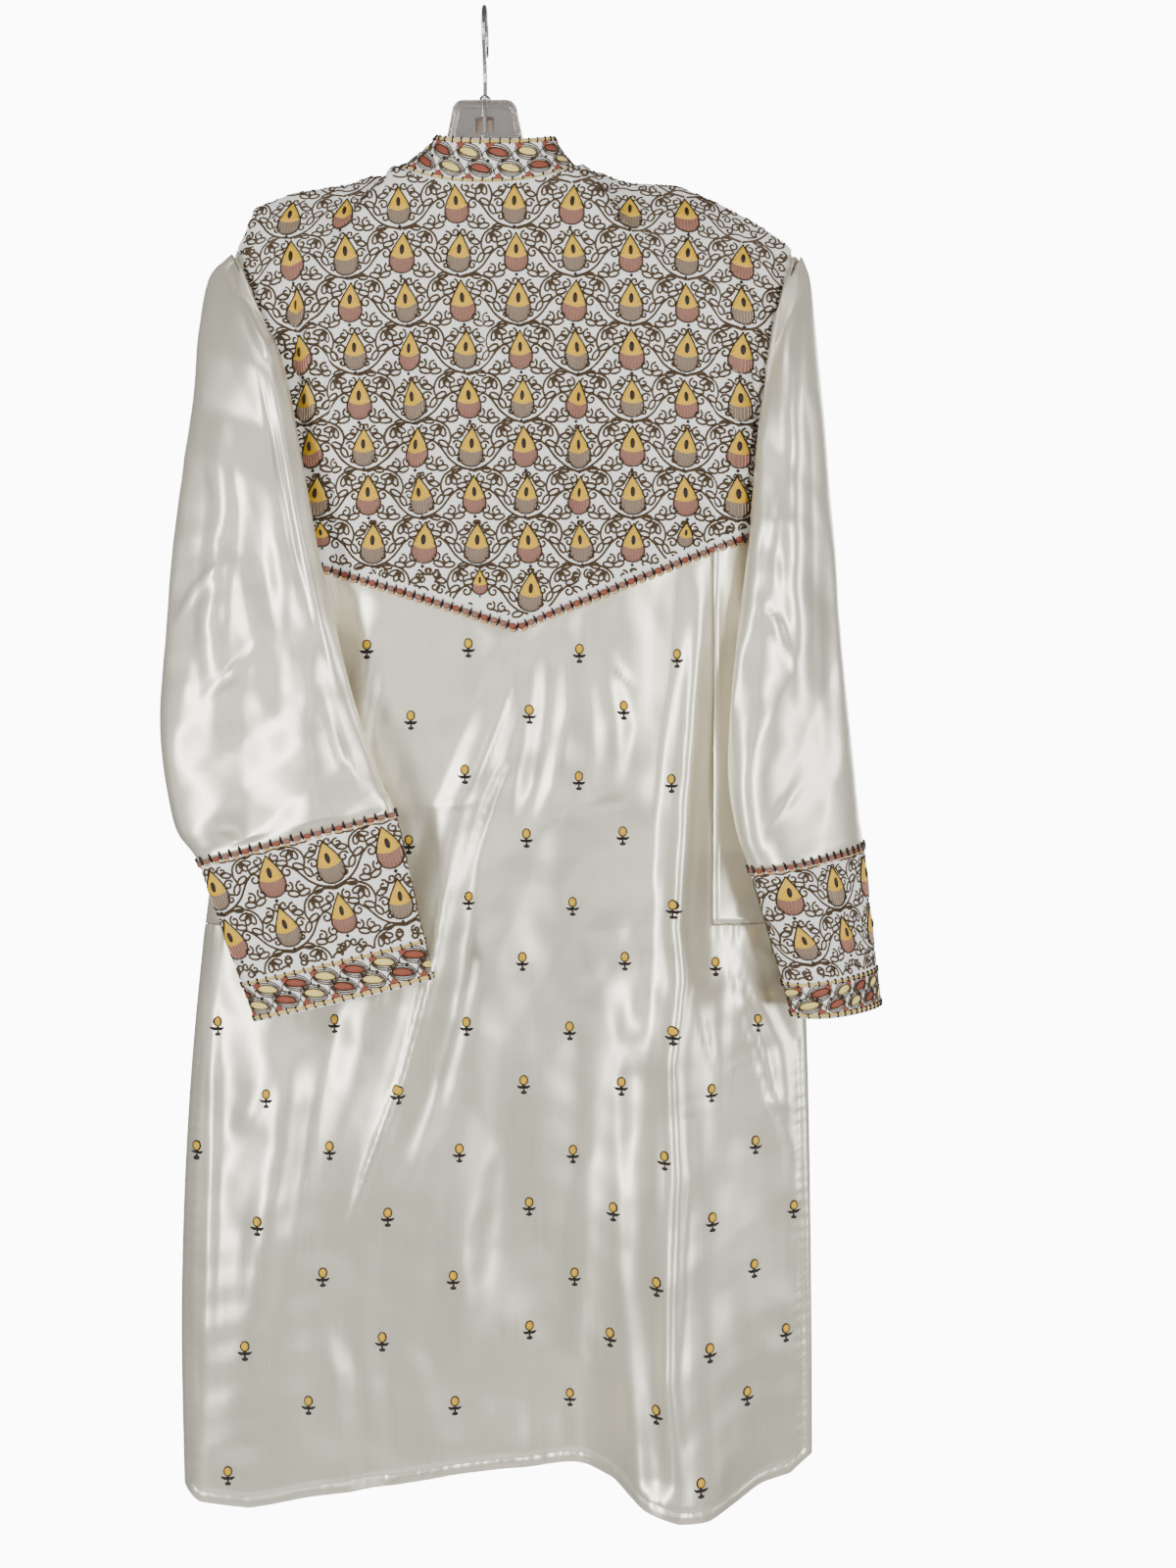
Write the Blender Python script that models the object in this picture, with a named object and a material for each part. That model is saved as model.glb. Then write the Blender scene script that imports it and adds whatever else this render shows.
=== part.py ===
"""A kurta on a hanger, hung by the hanger's hook, in metres.

The origin is the inside top of the hook. +Z is up, the garment's back faces -Y, and
+X is on the right of a viewer who looks at the back. Heights are stated as `down`,
the distance below the origin.
"""

import bmesh
import bpy
import numpy as np
from mathutils import Vector

CLOTH = 0.0015
SEAM_GAP = 0.0003
LAP = CLOTH + 0.0005


def table(columns, *rows):
    """The rows as a dictionary of arrays, one for each named column."""
    return dict(zip(columns.split(), np.array(rows, float).T))


# The body's outline: its two side edges, and how far the back and the front stand out.
BODY = table(
    "down left_x left_y right_x right_y back front",
    (0.190, -0.2020, 0.000, 0.2500, 0.000, 0.059, 0.053),
    (0.300, -0.1900, -0.002, 0.2360, -0.002, 0.057, 0.052),
    (0.430, -0.1800, -0.004, 0.2300, -0.004, 0.054, 0.050),
    (0.600, -0.2010, -0.006, 0.2420, -0.002, 0.048, 0.048),
    (0.730, -0.2170, -0.012, 0.2500, 0.000, 0.042, 0.045),
    (0.850, -0.2260, -0.020, 0.2540, 0.000, 0.038, 0.042),
    (1.000, -0.2300, -0.026, 0.2560, 0.000, 0.034, 0.040),
    (1.160, -0.2260, -0.030, 0.2565, 0.000, 0.030, 0.038),
)
SIDE_ROUNDNESS = 2.5

# The crown line over the hanger's arms, with the neck hole between its middle rows.
SHOULDER = table(
    "x down",
    (-0.2020, 0.2010),
    (-0.1980, 0.1940),
    (-0.1880, 0.1765),
    (-0.1800, 0.1570),
    (-0.1510, 0.1455),
    (-0.1080, 0.1395),
    (-0.0870, 0.1325),
    (-0.0690, 0.1345),
    (0.0760, 0.1310),
    (0.0850, 0.1285),
    (0.1120, 0.1380),
    (0.1510, 0.1400),
    (0.1820, 0.1530),
    (0.2130, 0.1690),
    (0.2360, 0.1840),
    (0.2520, 0.2000),
)
# The cloth bends over an arm within a short drop, and then spreads over a longer one.
BEND_DROP, BEND_SHARE, SPREAD_DROP = 0.010, 0.20, 0.100
ARMHOLE_SHARE = 0.02

NECK_LEFT, NECK_RIGHT = -0.0690, 0.0760
NECK_X = (NECK_LEFT + NECK_RIGHT) / 2
NECK_HALF = (NECK_RIGHT - NECK_LEFT) / 2
NECK_DOWN = 0.1323
NECK_DEPTH = {-1: 0.058, 1: 0.052}
NECK_DROP = {-1: 0.025, 1: 0.058}
NECK_SQUARENESS = 2.8
NECK_SPREAD = 0.080
NECK_COLUMNS = 13
LEFT_CROWN_COLUMNS, RIGHT_CROWN_COLUMNS, YOKE_ROWS = 7, 9, 10

# The yokes' pointed lower seam: its left end, its tip and its right end.
YOKE_SEAM = table("x down", (-0.180, 0.4275), (0.028, 0.4915), (0.230, 0.4095))
YOKE_TIP_X = 0.028

SIDE_SEAM_LEFT, SIDE_SEAM_RIGHT = -0.121, 0.1766
GATHER_DOWN = 0.718
SLIT_DOWN = 0.810
SLIT_SPREAD = 0.005

# The hem's line and depth, which the folds above it run down to.
BACK_HEM = table(
    "x down y",
    (-0.2300, 1.1400, -0.040),
    (-0.2120, 1.1515, -0.052),
    (-0.1740, 1.1550, -0.054),
    (-0.1190, 1.1470, -0.052),
    (-0.0670, 1.1410, -0.050),
    (-0.0230, 1.1360, -0.042),
    (0.0285, 1.1350, -0.028),
    (0.0820, 1.1360, -0.022),
    (0.1020, 1.1385, -0.040),
    (0.1240, 1.1510, -0.068),
    (0.1480, 1.1570, -0.078),
    (0.1700, 1.1580, -0.070),
    (0.1930, 1.1535, -0.048),
    (0.2120, 1.1475, -0.032),
    (0.2380, 1.1460, -0.014),
    (0.2580, 1.1340, -0.002),
)
FRONT_HEM = table(
    "x down y",
    (-0.2300, 1.1400, -0.016),
    (-0.1900, 1.1500, 0.014),
    (-0.1300, 1.1500, 0.036),
    (-0.0600, 1.1440, 0.022),
    (0.0100, 1.1500, 0.044),
    (0.0800, 1.1440, 0.028),
    (0.1500, 1.1500, 0.046),
    (0.2100, 1.1450, 0.026),
    (0.2580, 1.1340, 0.004),
)
HEM_BLEND_TOP, HEM_BLEND_END, HEM_BLEND_POWER = 0.52, 1.15, 1.4

# Folds that run down the cloth: where each lies, how wide it is and how far it stands out.
BACK_FOLDS = (
    table(
        "down x half out",
        (0.430, 0.166, 0.018, 0.000),
        (0.500, 0.166, 0.020, 0.005),
        (0.610, 0.155, 0.022, 0.009),
        (0.760, 0.152, 0.024, 0.008),
        (0.960, 0.148, 0.026, 0.000),
    ),
    table(
        "down x half out",
        (0.500, 0.028, 0.020, 0.000),
        (0.560, 0.010, 0.022, 0.004),
        (0.670, -0.026, 0.026, 0.007),
        (0.760, -0.037, 0.030, 0.008),
        (0.860, -0.067, 0.034, 0.007),
        (0.960, -0.104, 0.034, 0.000),
    ),
    table(
        "down x half out",
        (0.200, -0.125, 0.012, 0.000),
        (0.260, -0.128, 0.014, 0.006),
        (0.400, -0.124, 0.014, 0.006),
        (0.560, -0.122, 0.016, 0.000),
    ),
    table(
        "down x half out",
        (0.210, 0.196, 0.014, 0.000),
        (0.270, 0.194, 0.016, 0.006),
        (0.400, 0.192, 0.016, 0.005),
        (0.480, 0.190, 0.016, 0.000),
    ),
    table(
        "down x half out",
        (0.200, 0.010, 0.045, 0.000),
        (0.300, 0.012, 0.045, -0.005),
        (0.440, 0.020, 0.050, -0.004),
        (0.600, 0.040, 0.050, 0.000),
    ),
    table(
        "down x half out",
        (0.740, -0.170, 0.030, 0.000),
        (0.860, -0.160, 0.034, 0.006),
        (1.000, -0.172, 0.036, 0.004),
        (1.120, -0.180, 0.036, 0.000),
    ),
)
FRONT_FOLDS = (
    table(
        "down x half out",
        (0.500, -0.060, 0.030, 0.000),
        (0.700, -0.070, 0.034, -0.007),
        (0.900, -0.064, 0.036, -0.007),
        (1.100, -0.060, 0.036, 0.000),
    ),
    table(
        "down x half out",
        (0.500, 0.110, 0.030, 0.000),
        (0.680, 0.104, 0.034, -0.008),
        (0.900, 0.090, 0.036, -0.007),
        (1.100, 0.082, 0.036, 0.000),
    ),
)

# An arm from the shoulder to the cuff's edge. Each section is a flattened loop between
# an inner and an outer fold. `near` and `far` are how far its two layers stand out
# towards -Y and +Y. `seam` is how far down the armhole that section is sewn.
ARM_COLUMNS = "in_x in_y in_down out_x out_y out_down near far seam"
ARMS = {
    "left": table(
        ARM_COLUMNS,
        (-0.1860, -0.001, 0.2160, -0.1980, 0.000, 0.1935, 0.012, 0.012, 0.1930),
        (-0.1800, -0.022, 0.2310, -0.2110, -0.004, 0.2140, 0.017, 0.018, 0.2200),
        (-0.1660, -0.044, 0.2580, -0.2160, -0.020, 0.2570, 0.016, 0.022, 0.2600),
        (-0.1490, -0.060, 0.3020, -0.2180, -0.038, 0.3104, 0.014, 0.024, 0.3060),
        (-0.1340, -0.070, 0.3700, -0.2240, -0.050, 0.3734, 0.014, 0.022, 0.3700),
        (-0.1220, -0.074, 0.4300, -0.2290, -0.060, 0.4290, 0.015, 0.016, 0.4275),
        (-0.1090, -0.078, 0.4850, -0.2332, -0.066, 0.5000, 0.017, 0.011, 0.4275),
        (-0.0920, -0.081, 0.5527, -0.2355, -0.072, 0.5695, 0.018, 0.010, 0.4275),
        (-0.0720, -0.085, 0.6090, -0.2240, -0.078, 0.6380, 0.016, 0.010, 0.4275),
        (-0.0618, -0.087, 0.6320, -0.2050, -0.082, 0.6678, 0.014, 0.012, 0.4275),
        (-0.0475, -0.090, 0.6928, -0.1828, -0.086, 0.7258, 0.014, 0.012, 0.4275),
        (-0.0332, -0.093, 0.7537, -0.1606, -0.090, 0.7838, 0.016, 0.013, 0.4275),
    ),
    "right": table(
        ARM_COLUMNS,
        (0.2370, -0.001, 0.2180, 0.2480, 0.000, 0.1950, 0.012, 0.012, 0.1950),
        (0.2320, -0.020, 0.2400, 0.2500, -0.002, 0.2180, 0.014, 0.016, 0.2220),
        (0.2250, -0.038, 0.2757, 0.2530, -0.006, 0.2660, 0.016, 0.020, 0.2660),
        (0.2165, -0.050, 0.3352, 0.2580, -0.010, 0.3300, 0.020, 0.022, 0.3250),
        (0.2079, -0.060, 0.4120, 0.2650, -0.012, 0.4080, 0.022, 0.018, 0.4095),
        (0.1975, -0.068, 0.4915, 0.2720, -0.010, 0.4850, 0.023, 0.015, 0.4095),
        (0.1900, -0.074, 0.5600, 0.2790, -0.006, 0.5520, 0.023, 0.013, 0.4095),
        (0.1885, -0.078, 0.6080, 0.2850, -0.004, 0.6000, 0.023, 0.012, 0.4095),
        (0.1950, -0.080, 0.6480, 0.2885, -0.002, 0.6360, 0.023, 0.012, 0.4095),
        (0.2045, -0.080, 0.6732, 0.2910, 0.000, 0.6570, 0.024, 0.014, 0.4095),
        (0.2240, -0.074, 0.7293, 0.2960, 0.002, 0.7198, 0.024, 0.018, 0.4095),
        (0.2430, -0.068, 0.7854, 0.3010, 0.004, 0.7826, 0.025, 0.021, 0.4095),
    ),
}
UNDERARM_SECTION = {"left": 5, "right": 4}
UNDERARM_TURN = 0.0006
UNDERARM_ROOM = 0.0045
SLEEVE_LAP = CLOTH + 0.0014
SLEEVE_SLACK = 0.003
CORNER_DEPTH = 0.015
CUFF_SECTION = 9
SEAM_ANGLE = np.radians(255)
SLEEVE_TURNS, SEAM_BUNCHING = 32, 0.7
LOOP_SQUARENESS = 2.4
CUFF_GAP_SHARE = 0.004

COLLAR_HEIGHT = 0.034
COLLAR_SIDE_LEAN = 0.027
COLLAR_FRONT_LEAN = 0.010
COLLAR_OPENING = 0.004
COLLAR_INSET = LAP + SEAM_GAP
COLLAR_SHIFT = 0.0066

PLACKET_HALF = 0.016
PLACKET_TOP, PLACKET_END = 0.200, 0.512
BUTTON_RADIUS, BUTTON_THICK = 0.0057, 0.0024
BUTTON_COUNT, BUTTON_FIRST, BUTTON_PITCH = 5, 0.222, 0.060

HANGER_ARM = table(
    "x top height thick",
    (0.0000, 0.1210, 0.0380, 0.0090),
    (0.0300, 0.1300, 0.0300, 0.0090),
    (0.0700, 0.1370, 0.0230, 0.0090),
    (0.1080, 0.1408, 0.0190, 0.0086),
    (0.1500, 0.1439, 0.0160, 0.0080),
    (0.1700, 0.1522, 0.0130, 0.0070),
    (0.1780, 0.1600, 0.0070, 0.0040),
)
HANGER_TILT = 0.018
PLATE_HALF_TOP, PLATE_HALF_END = 0.0258, 0.0370
PLATE_TOP, PLATE_END, PLATE_THICK, PLATE_CORNER = 0.071, 0.136, 0.0080, 0.009
WINDOW_HALF, WINDOW_TOP, WINDOW_END = 0.0072, 0.0843, 0.0967
WIRE_RADIUS, HOOK_RADIUS, SHANK_END = 0.00175, 0.0205, 0.112


def smooth(at, values, x):
    """A cubic curve through the values, each slope set by its neighbours, held at both ends."""
    slopes = np.gradient(values, at)
    x = np.clip(x, at[0], at[-1])
    i = np.clip(np.searchsorted(at, x, side="right") - 1, 0, len(at) - 2)
    width = at[i + 1] - at[i]
    f = (x - at[i]) / width
    start = (1 + 2 * f) * (1 - f) ** 2 * values[i] + f * (1 - f) ** 2 * width * slopes[i]
    end = f * f * (3 - 2 * f) * values[i + 1] + f * f * (f - 1) * width * slopes[i + 1]
    return start + end


def ease(f):
    """0 to 1 with level ends, as f goes from 0 to 1."""
    f = np.clip(f, 0, 1)
    return f * f * (3 - 2 * f)


def bell(distance):
    """A soft bump, 1 in its middle and 0 from a distance of 1."""
    return (1 - np.clip(np.abs(distance), 0, 1) ** 2) ** 2


def body_edges(down):
    """The body's left and right edge at a height: left x, left y, right x, right y."""
    return [smooth(BODY["down"], BODY[key], down) for key in ("left_x", "left_y", "right_x", "right_y")]


def neck_inset(x, wider=1.0):
    """0 outside the neck hole, or one so many times wider, and 1 on its centre line."""
    return np.clip(1 - np.abs((x - NECK_X) / (NECK_HALF * wider)) ** NECK_SQUARENESS, 0, 1)


def top_down(side, x):
    """How far down the cloth starts: on the crown line, or on the neckline inside the neck."""
    crown = np.interp(x, SHOULDER["x"], SHOULDER["down"])
    inset = neck_inset(x)
    return np.where(inset > 0, NECK_DOWN + NECK_DROP[side] * inset, crown)


def surface(side, x, down, slit=True):
    """The y of the back (side -1) or the front (side 1) at x and down.

    It stands out from the line between the side edges as a flattened oval does, rounds
    over the hanger's arms at the top, starts at the neckline at the neck, and takes the
    hem's waves and the long folds lower down.
    """
    left_x, left_y, right_x, right_y = body_edges(down)
    q = np.clip((x - left_x) / (right_x - left_x), 0, 1)
    oval = (1 - np.abs(2 * q - 1) ** SIDE_ROUNDNESS) ** (1 / SIDE_ROUNDNESS)
    line = left_y + (right_y - left_y) * q
    depth = smooth(BODY["down"], BODY["back" if side < 0 else "front"], down) * oval
    hem = BACK_HEM if side < 0 else FRONT_HEM
    blend = np.clip((down - HEM_BLEND_TOP) / (HEM_BLEND_END - HEM_BLEND_TOP), 0, 1) ** HEM_BLEND_POWER
    hem_depth = side * (smooth(hem["x"], hem["y"], x) - line)
    at_edge = ease(oval / 0.45)
    depth = depth + (hem_depth - depth) * blend * at_edge
    for fold in BACK_FOLDS if side < 0 else FRONT_FOLDS:
        place = smooth(fold["down"], fold["x"], down)
        half = smooth(fold["down"], fold["half"], down)
        out = smooth(fold["down"], fold["out"], down)
        depth = depth + out * bell((x - place) / half) * at_edge
    below = np.maximum(down - top_down(side, x), 0)
    wider = 1 + below / NECK_SPREAD
    neck = NECK_DEPTH[side] * neck_inset(x, wider) ** (1 / NECK_SQUARENESS)
    bend = np.sqrt(1 - (1 - np.minimum(below / BEND_DROP, 1)) ** 2)
    spread = 1 - (1 - np.minimum(below / SPREAD_DROP, 1)) ** 2
    fall = BEND_SHARE * bend + (1 - BEND_SHARE) * spread
    gap = 0.0
    if slit:
        gap = SEAM_GAP / 2 + SLIT_SPREAD * ease((down - SLIT_DOWN) / (HEM_BLEND_END - SLIT_DOWN))
    return line + side * (gap + neck * (1 - fall) + depth * fall)


def seam_down(x):
    """How far down the yokes' pointed lower seam lies."""
    return np.interp(x, YOKE_SEAM["x"], YOKE_SEAM["down"])


def edge_x(down, share):
    """The x at a share of the body's width, from its left edge."""
    left_x, _, right_x, _ = body_edges(down)
    return left_x + (right_x - left_x) * share


def body_grid(side, x, down, slit=True):
    """Points of the back or the front, for arrays of x and down."""
    return np.stack([x, surface(side, x, down, slit), -down], axis=-1)


def grid_normals(points, closed=False):
    """Unit normals of a grid of points, from the differences along its rows and columns."""
    if closed:
        wide = np.concatenate([points[:, -2:-1], points, points[:, 1:2]], axis=1)
        across = (wide[:, 2:] - wide[:, :-2]) / 2
    else:
        across = np.gradient(points, axis=1)
    normals = np.cross(across, np.gradient(points, axis=0))
    return normals / np.maximum(np.linalg.norm(normals, axis=-1, keepdims=True), 1e-12)


def wall_mesh(name, outer, inner, turned, cells=None, ids=None):
    """A closed wall between two grids of points, its faces turned round if `turned`.

    `cells` marks the grid's cells that are cloth, and `ids` numbers the points, so that
    points with one number are one point. Edges of one cell get a narrow face to the
    inner grid.
    """
    rows, columns = outer.shape[:2]
    ids = np.arange(rows * columns).reshape(rows, columns) if ids is None else ids
    cells = np.ones((rows - 1, columns - 1), bool) if cells is None else cells
    r, c = np.nonzero(cells)
    quads = np.stack([ids[r, c], ids[r, c + 1], ids[r + 1, c + 1], ids[r + 1, c]], axis=1)
    used, quads = np.unique(quads, return_inverse=True)
    quads = quads.reshape(-1, 4)[:, ::-1 if turned else 1]
    count = len(used)
    flat = np.concatenate([outer.reshape(-1, 3)[used], inner.reshape(-1, 3)[used]])
    edges = np.concatenate([quads[:, [k, (k + 1) % 4]] for k in range(4)])
    key = edges.min(axis=1) * count + edges.max(axis=1)
    _, where, times = np.unique(key, return_inverse=True, return_counts=True)
    rim = edges[times[where.reshape(-1)] == 1]
    sides = np.stack([rim[:, 1], rim[:, 0], rim[:, 0] + count, rim[:, 1] + count], axis=1)
    faces = np.concatenate([quads, quads[:, ::-1] + count, sides])
    mesh = bpy.data.meshes.new(name)
    mesh.from_pydata(flat.tolist(), [], faces.tolist())
    return mesh


def add_object(name, mesh, material):
    """Puts a mesh into the scene as a named sub-part."""
    mesh.materials.append(material)
    part = bpy.data.objects.new(name, mesh)
    bpy.context.scene.collection.objects.link(part)
    mesh.shade_smooth()
    mesh.set_sharp_from_angle(angle=np.radians(50))
    return part


def add_cloth(name, inner, material, outward, cells=None, ids=None, closed=False, lift=0.0):
    """A cloth piece whose inner face is the grid, or lies `lift` outside it.

    `outward` is 1 or -1, for a grid whose normals point out or in.
    """
    normals = grid_normals(inner, closed) * outward
    face, back = inner + normals * (lift + CLOTH), inner + normals * lift
    return add_object(name, wall_mesh(name, face, back, outward < 0, cells, ids), material)


def material(name, colour, roughness, metallic=0.0, alpha=1.0):
    """A plain material slot."""
    made = bpy.data.materials.new(name)
    made.use_nodes = True
    shader = made.node_tree.nodes["Principled BSDF"]
    shader.inputs["Base Color"].default_value = (*colour, 1.0)
    shader.inputs["Roughness"].default_value = roughness
    shader.inputs["Metallic"].default_value = metallic
    shader.inputs["Alpha"].default_value = alpha
    return made


def yoke_rows(top, end):
    """Heights from the crown to the seam, close together where the cloth rounds over."""
    angle = np.linspace(0, np.pi / 2, 3, endpoint=False)[:, None]
    curve = BEND_DROP * (1 - np.cos(angle))
    rest = np.linspace(0, 1, YOKE_ROWS)[:, None] ** 1.3
    start = top + BEND_DROP
    return np.concatenate([top + curve, start + (end - start) * rest])


def neck_columns():
    """x values across the neck hole, close together at its two sides."""
    angle = np.linspace(0, np.pi, NECK_COLUMNS)
    across = np.sign(np.cos(angle)) * np.abs(np.cos(angle)) ** (2 / NECK_SQUARENESS)
    return NECK_X - NECK_HALF * across


def yoke_grid(side, top_x, end_x):
    """A yoke's points, from its top edge's x values to its lower seam's."""
    down = yoke_rows(top_down(side, top_x), seam_down(end_x) - SEAM_GAP / 2)
    share = (down - down[0]) / (down[-1] - down[0])
    x = top_x + (end_x - top_x) * ease(share)
    return body_grid(side, x, down)


def armhole_x(down, right):
    """The x of an armhole's edge."""
    return edge_x(down, 1 - ARMHOLE_SHARE if right else ARMHOLE_SHARE)


def crown_columns(right):
    """x values along a shoulder, short of the neck's side."""
    end = armhole_x(BODY["down"][0], right)
    if right:
        return np.linspace(NECK_RIGHT, end, RIGHT_CROWN_COLUMNS + 1)[1:]
    return np.linspace(end, NECK_LEFT, LEFT_CROWN_COLUMNS + 1)[:-1]


def yoke_points(side, top_x, end_share, armholes):
    """A yoke's grid. Its columns named in `armholes` follow the armholes."""
    end_left = armhole_x(seam_down(YOKE_SEAM["x"][0]), False)
    end_right = armhole_x(seam_down(YOKE_SEAM["x"][-1]), True)
    end_x = np.interp(end_share, (0, 0.5, 1), (end_left, YOKE_TIP_X, end_right))
    points = yoke_grid(side, top_x, end_x)
    for column, right in armholes:
        down = -points[:, column, 2]
        points[:, column] = body_grid(side, armhole_x(down, right), down)
    return points


def back_yoke(cloth):
    """The embroidered back yoke, from the neck and shoulders to its pointed seam."""
    top_x = np.concatenate([crown_columns(False), neck_columns(), crown_columns(True)])
    points = yoke_points(-1, top_x, np.linspace(0, 1, len(top_x)), ((0, False), (-1, True)))
    add_cloth("back_yoke", points, cloth, -1)


def centre_x(down):
    """The centre front, which runs from the neck's middle to the yokes' tip."""
    top = NECK_DOWN + NECK_DROP[1]
    return NECK_X + (YOKE_TIP_X - NECK_X) * (down - top) / (seam_down(YOKE_TIP_X) - top)


def front_yoke(name, right, cloth):
    """One half of the embroidered front yoke, from its armhole to the centre front."""
    neck, middle = neck_columns(), NECK_COLUMNS // 2
    if right:
        top_x = np.concatenate([neck[middle:], crown_columns(True)])
        share = np.linspace(0.5, 1, len(top_x))
        centre, outer = 0, -1
    else:
        top_x = np.concatenate([crown_columns(False), neck[: middle + 1]])
        share = np.linspace(0, 0.5, len(top_x))
        centre, outer = -1, 0
    points = yoke_points(1, top_x, share, ((outer, right),))
    down = -points[:, centre, 2]
    x = centre_x(down) + (SEAM_GAP if right else -SEAM_GAP) / 2
    points[:, centre] = body_grid(1, x, down)
    add_cloth(name, points, cloth, 1)


def lower_panel(name, side, cloth, columns):
    """The back or the front below the yoke, wider below the gathered seam."""
    inner = np.linspace(SIDE_SEAM_LEFT + SEAM_GAP / 2, SIDE_SEAM_RIGHT - SEAM_GAP / 2, columns)
    middle = np.argmin(np.abs(inner - YOKE_TIP_X))
    inner[middle] = YOKE_TIP_X
    hem = BACK_HEM if side < 0 else FRONT_HEM
    upper_rows, lower_rows, flap = 7, 12, 4
    gather = GATHER_DOWN + SEAM_GAP / 2
    top = seam_down(inner) + SEAM_GAP / 2
    upper = top + (gather - top) * np.linspace(0, 1, upper_rows)[:, None]
    share = np.linspace(0, 1, lower_rows)[1:, None]
    lower = gather + (np.interp(inner, hem["x"], hem["down"]) - gather) * share
    down = np.concatenate([upper, lower])
    x = np.broadcast_to(inner, down.shape)
    left_side = side_columns(down[:, 0], hem, gather, upper_rows, share, inner[0], False, flap)
    right_side = side_columns(down[:, -1], hem, gather, upper_rows, share, inner[-1], True, flap)
    x = np.concatenate([left_side[0], x, right_side[0]], axis=1)
    down = np.concatenate([left_side[1], down, right_side[1]], axis=1)
    cells = np.ones((len(x) - 1, x.shape[1] - 1), bool)
    cells[: upper_rows - 1, :flap] = False
    cells[: upper_rows - 1, -flap:] = False
    add_cloth(name, body_grid(side, x, down), cloth, side, cells)


def side_columns(column_down, hem, gather, upper_rows, share, seam_x, right, flap):
    """x and down of the columns from a side seam's line to the body's edge."""
    bend = (np.arange(flap, 0, -1) / flap)[None]
    if right:
        bend = bend[:, ::-1]
    down = np.repeat(column_down[:, None], flap, axis=1)
    for _ in range(3):
        edge = edge_x(down, 1.0 if right else 0.0)
        x = seam_x + (edge - seam_x) * (1 - (1 - bend) ** 2)
        end = np.interp(x[upper_rows:], hem["x"], hem["down"])
        down[upper_rows:] = gather + (end - gather) * share
    return x, down


def side_panel(name, right, cloth):
    """The piece under an arm, from its back seam round the body's edge to its front seam."""
    columns, rows = 11, 8
    turn = np.linspace(-1, 1, columns)
    seam_x = SIDE_SEAM_RIGHT if right else SIDE_SEAM_LEFT
    inset = SEAM_GAP / 2 if right else -SEAM_GAP / 2
    share = np.linspace(0, 1, rows)[:, None]
    down = np.full((rows, columns), GATHER_DOWN)
    for _ in range(6):
        edge = edge_x(down, 1.0 if right else 0.0)
        x = edge + (seam_x + inset - edge) * np.abs(turn) ** SIDE_ROUNDNESS
        top = seam_down(x[0]) + SEAM_GAP / 2
        down = top + (GATHER_DOWN - SEAM_GAP / 2 - top) * share
    back = body_grid(-1, x, down, slit=False)
    front = body_grid(1, x, down, slit=False)
    points = np.where((turn < 0)[None, :, None], back, front)
    add_cloth(name, points, cloth, -1 if right else 1)


def arm_point(arm, t, s):
    """Points of an arm at t round the loop and s along its sections."""
    index = np.arange(len(arm["in_x"]), dtype=float)
    value = {key: smooth(index, column, s) for key, column in arm.items()}
    fold_in = np.stack([value["in_x"], value["in_y"], -value["in_down"]], axis=-1)
    fold_out = np.stack([value["out_x"], value["out_y"], -value["out_down"]], axis=-1)
    chord = (fold_out - fold_in) / 2
    middle = (fold_out + fold_in) / 2
    along = np.sign(fold_out[..., :1] - fold_in[..., :1]) * np.array([0.0, 0.0, 1.0])
    out = np.cross(chord, along)
    out = out / np.linalg.norm(out, axis=-1, keepdims=True)
    out = np.where(out[..., 1:2] > 0, -out, out)
    angle = SEAM_ANGLE - 2 * np.pi * t
    power = 2 / LOOP_SQUARENESS
    across = np.sign(np.cos(angle)) * np.abs(np.cos(angle)) ** power
    rise = np.sign(np.sin(angle)) * np.abs(np.sin(angle)) ** power
    rise = rise * np.where(rise > 0, value["near"], value["far"])
    return middle + chord * across[..., None] + out * rise[..., None]


def side_slope(side, x, down):
    """How steeply the back's or front's y changes across, at x."""
    step = 0.0005
    ahead = surface(side, x + step, down, slit=False)
    return (ahead - surface(side, x - step, down, slit=False)) / (2 * step)


def armhole_point(side, down, right, underarm):
    """A point outside the armhole's edge, one lap away from it.

    At the underarm it moves round to the body's side edge.
    """
    above = ease((underarm - down) / UNDERARM_TURN)
    share = ARMHOLE_SHARE * above
    x = edge_x(down, 1 - share if right else share)
    slope = side_slope(side, x, down)
    lean = np.stack([-side * slope, side + 0 * slope, 0 * slope], axis=-1)
    lean = lean / np.linalg.norm(lean, axis=-1, keepdims=True)
    lap = SLEEVE_LAP + UNDERARM_ROOM * (1 - above)
    return body_grid(side, x, down, slit=False) + lean * lap[..., None]


def clear_of_body(points, side, where, slack):
    """The points, with those marked by `where` moved off the body's back or front.

    They stay outside the body's section made wider and deeper by the lap and `slack`.
    """
    x, y, down = points[..., 0], points[..., 1], -points[..., 2]
    left_x, left_y, right_x, right_y = body_edges(down)
    middle, half = (left_x + right_x) / 2, (right_x - left_x) / 2
    reach = SLEEVE_LAP + slack
    inner_x = middle + (x - middle) * half / (half + reach)
    within = where & (inner_x > left_x) & (inner_x < right_x)
    line = left_y + (right_y - left_y) * (inner_x - left_x) / (2 * half)
    out = np.abs(surface(side, inner_x, down, slit=False) - line)
    limit = line + side * (out + 1.2 * reach * ease(out / CORNER_DEPTH))
    pushed = np.minimum(y, limit) if side < 0 else np.maximum(y, limit)
    return np.stack([x, np.where(within, pushed, y), -down], axis=-1)


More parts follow.
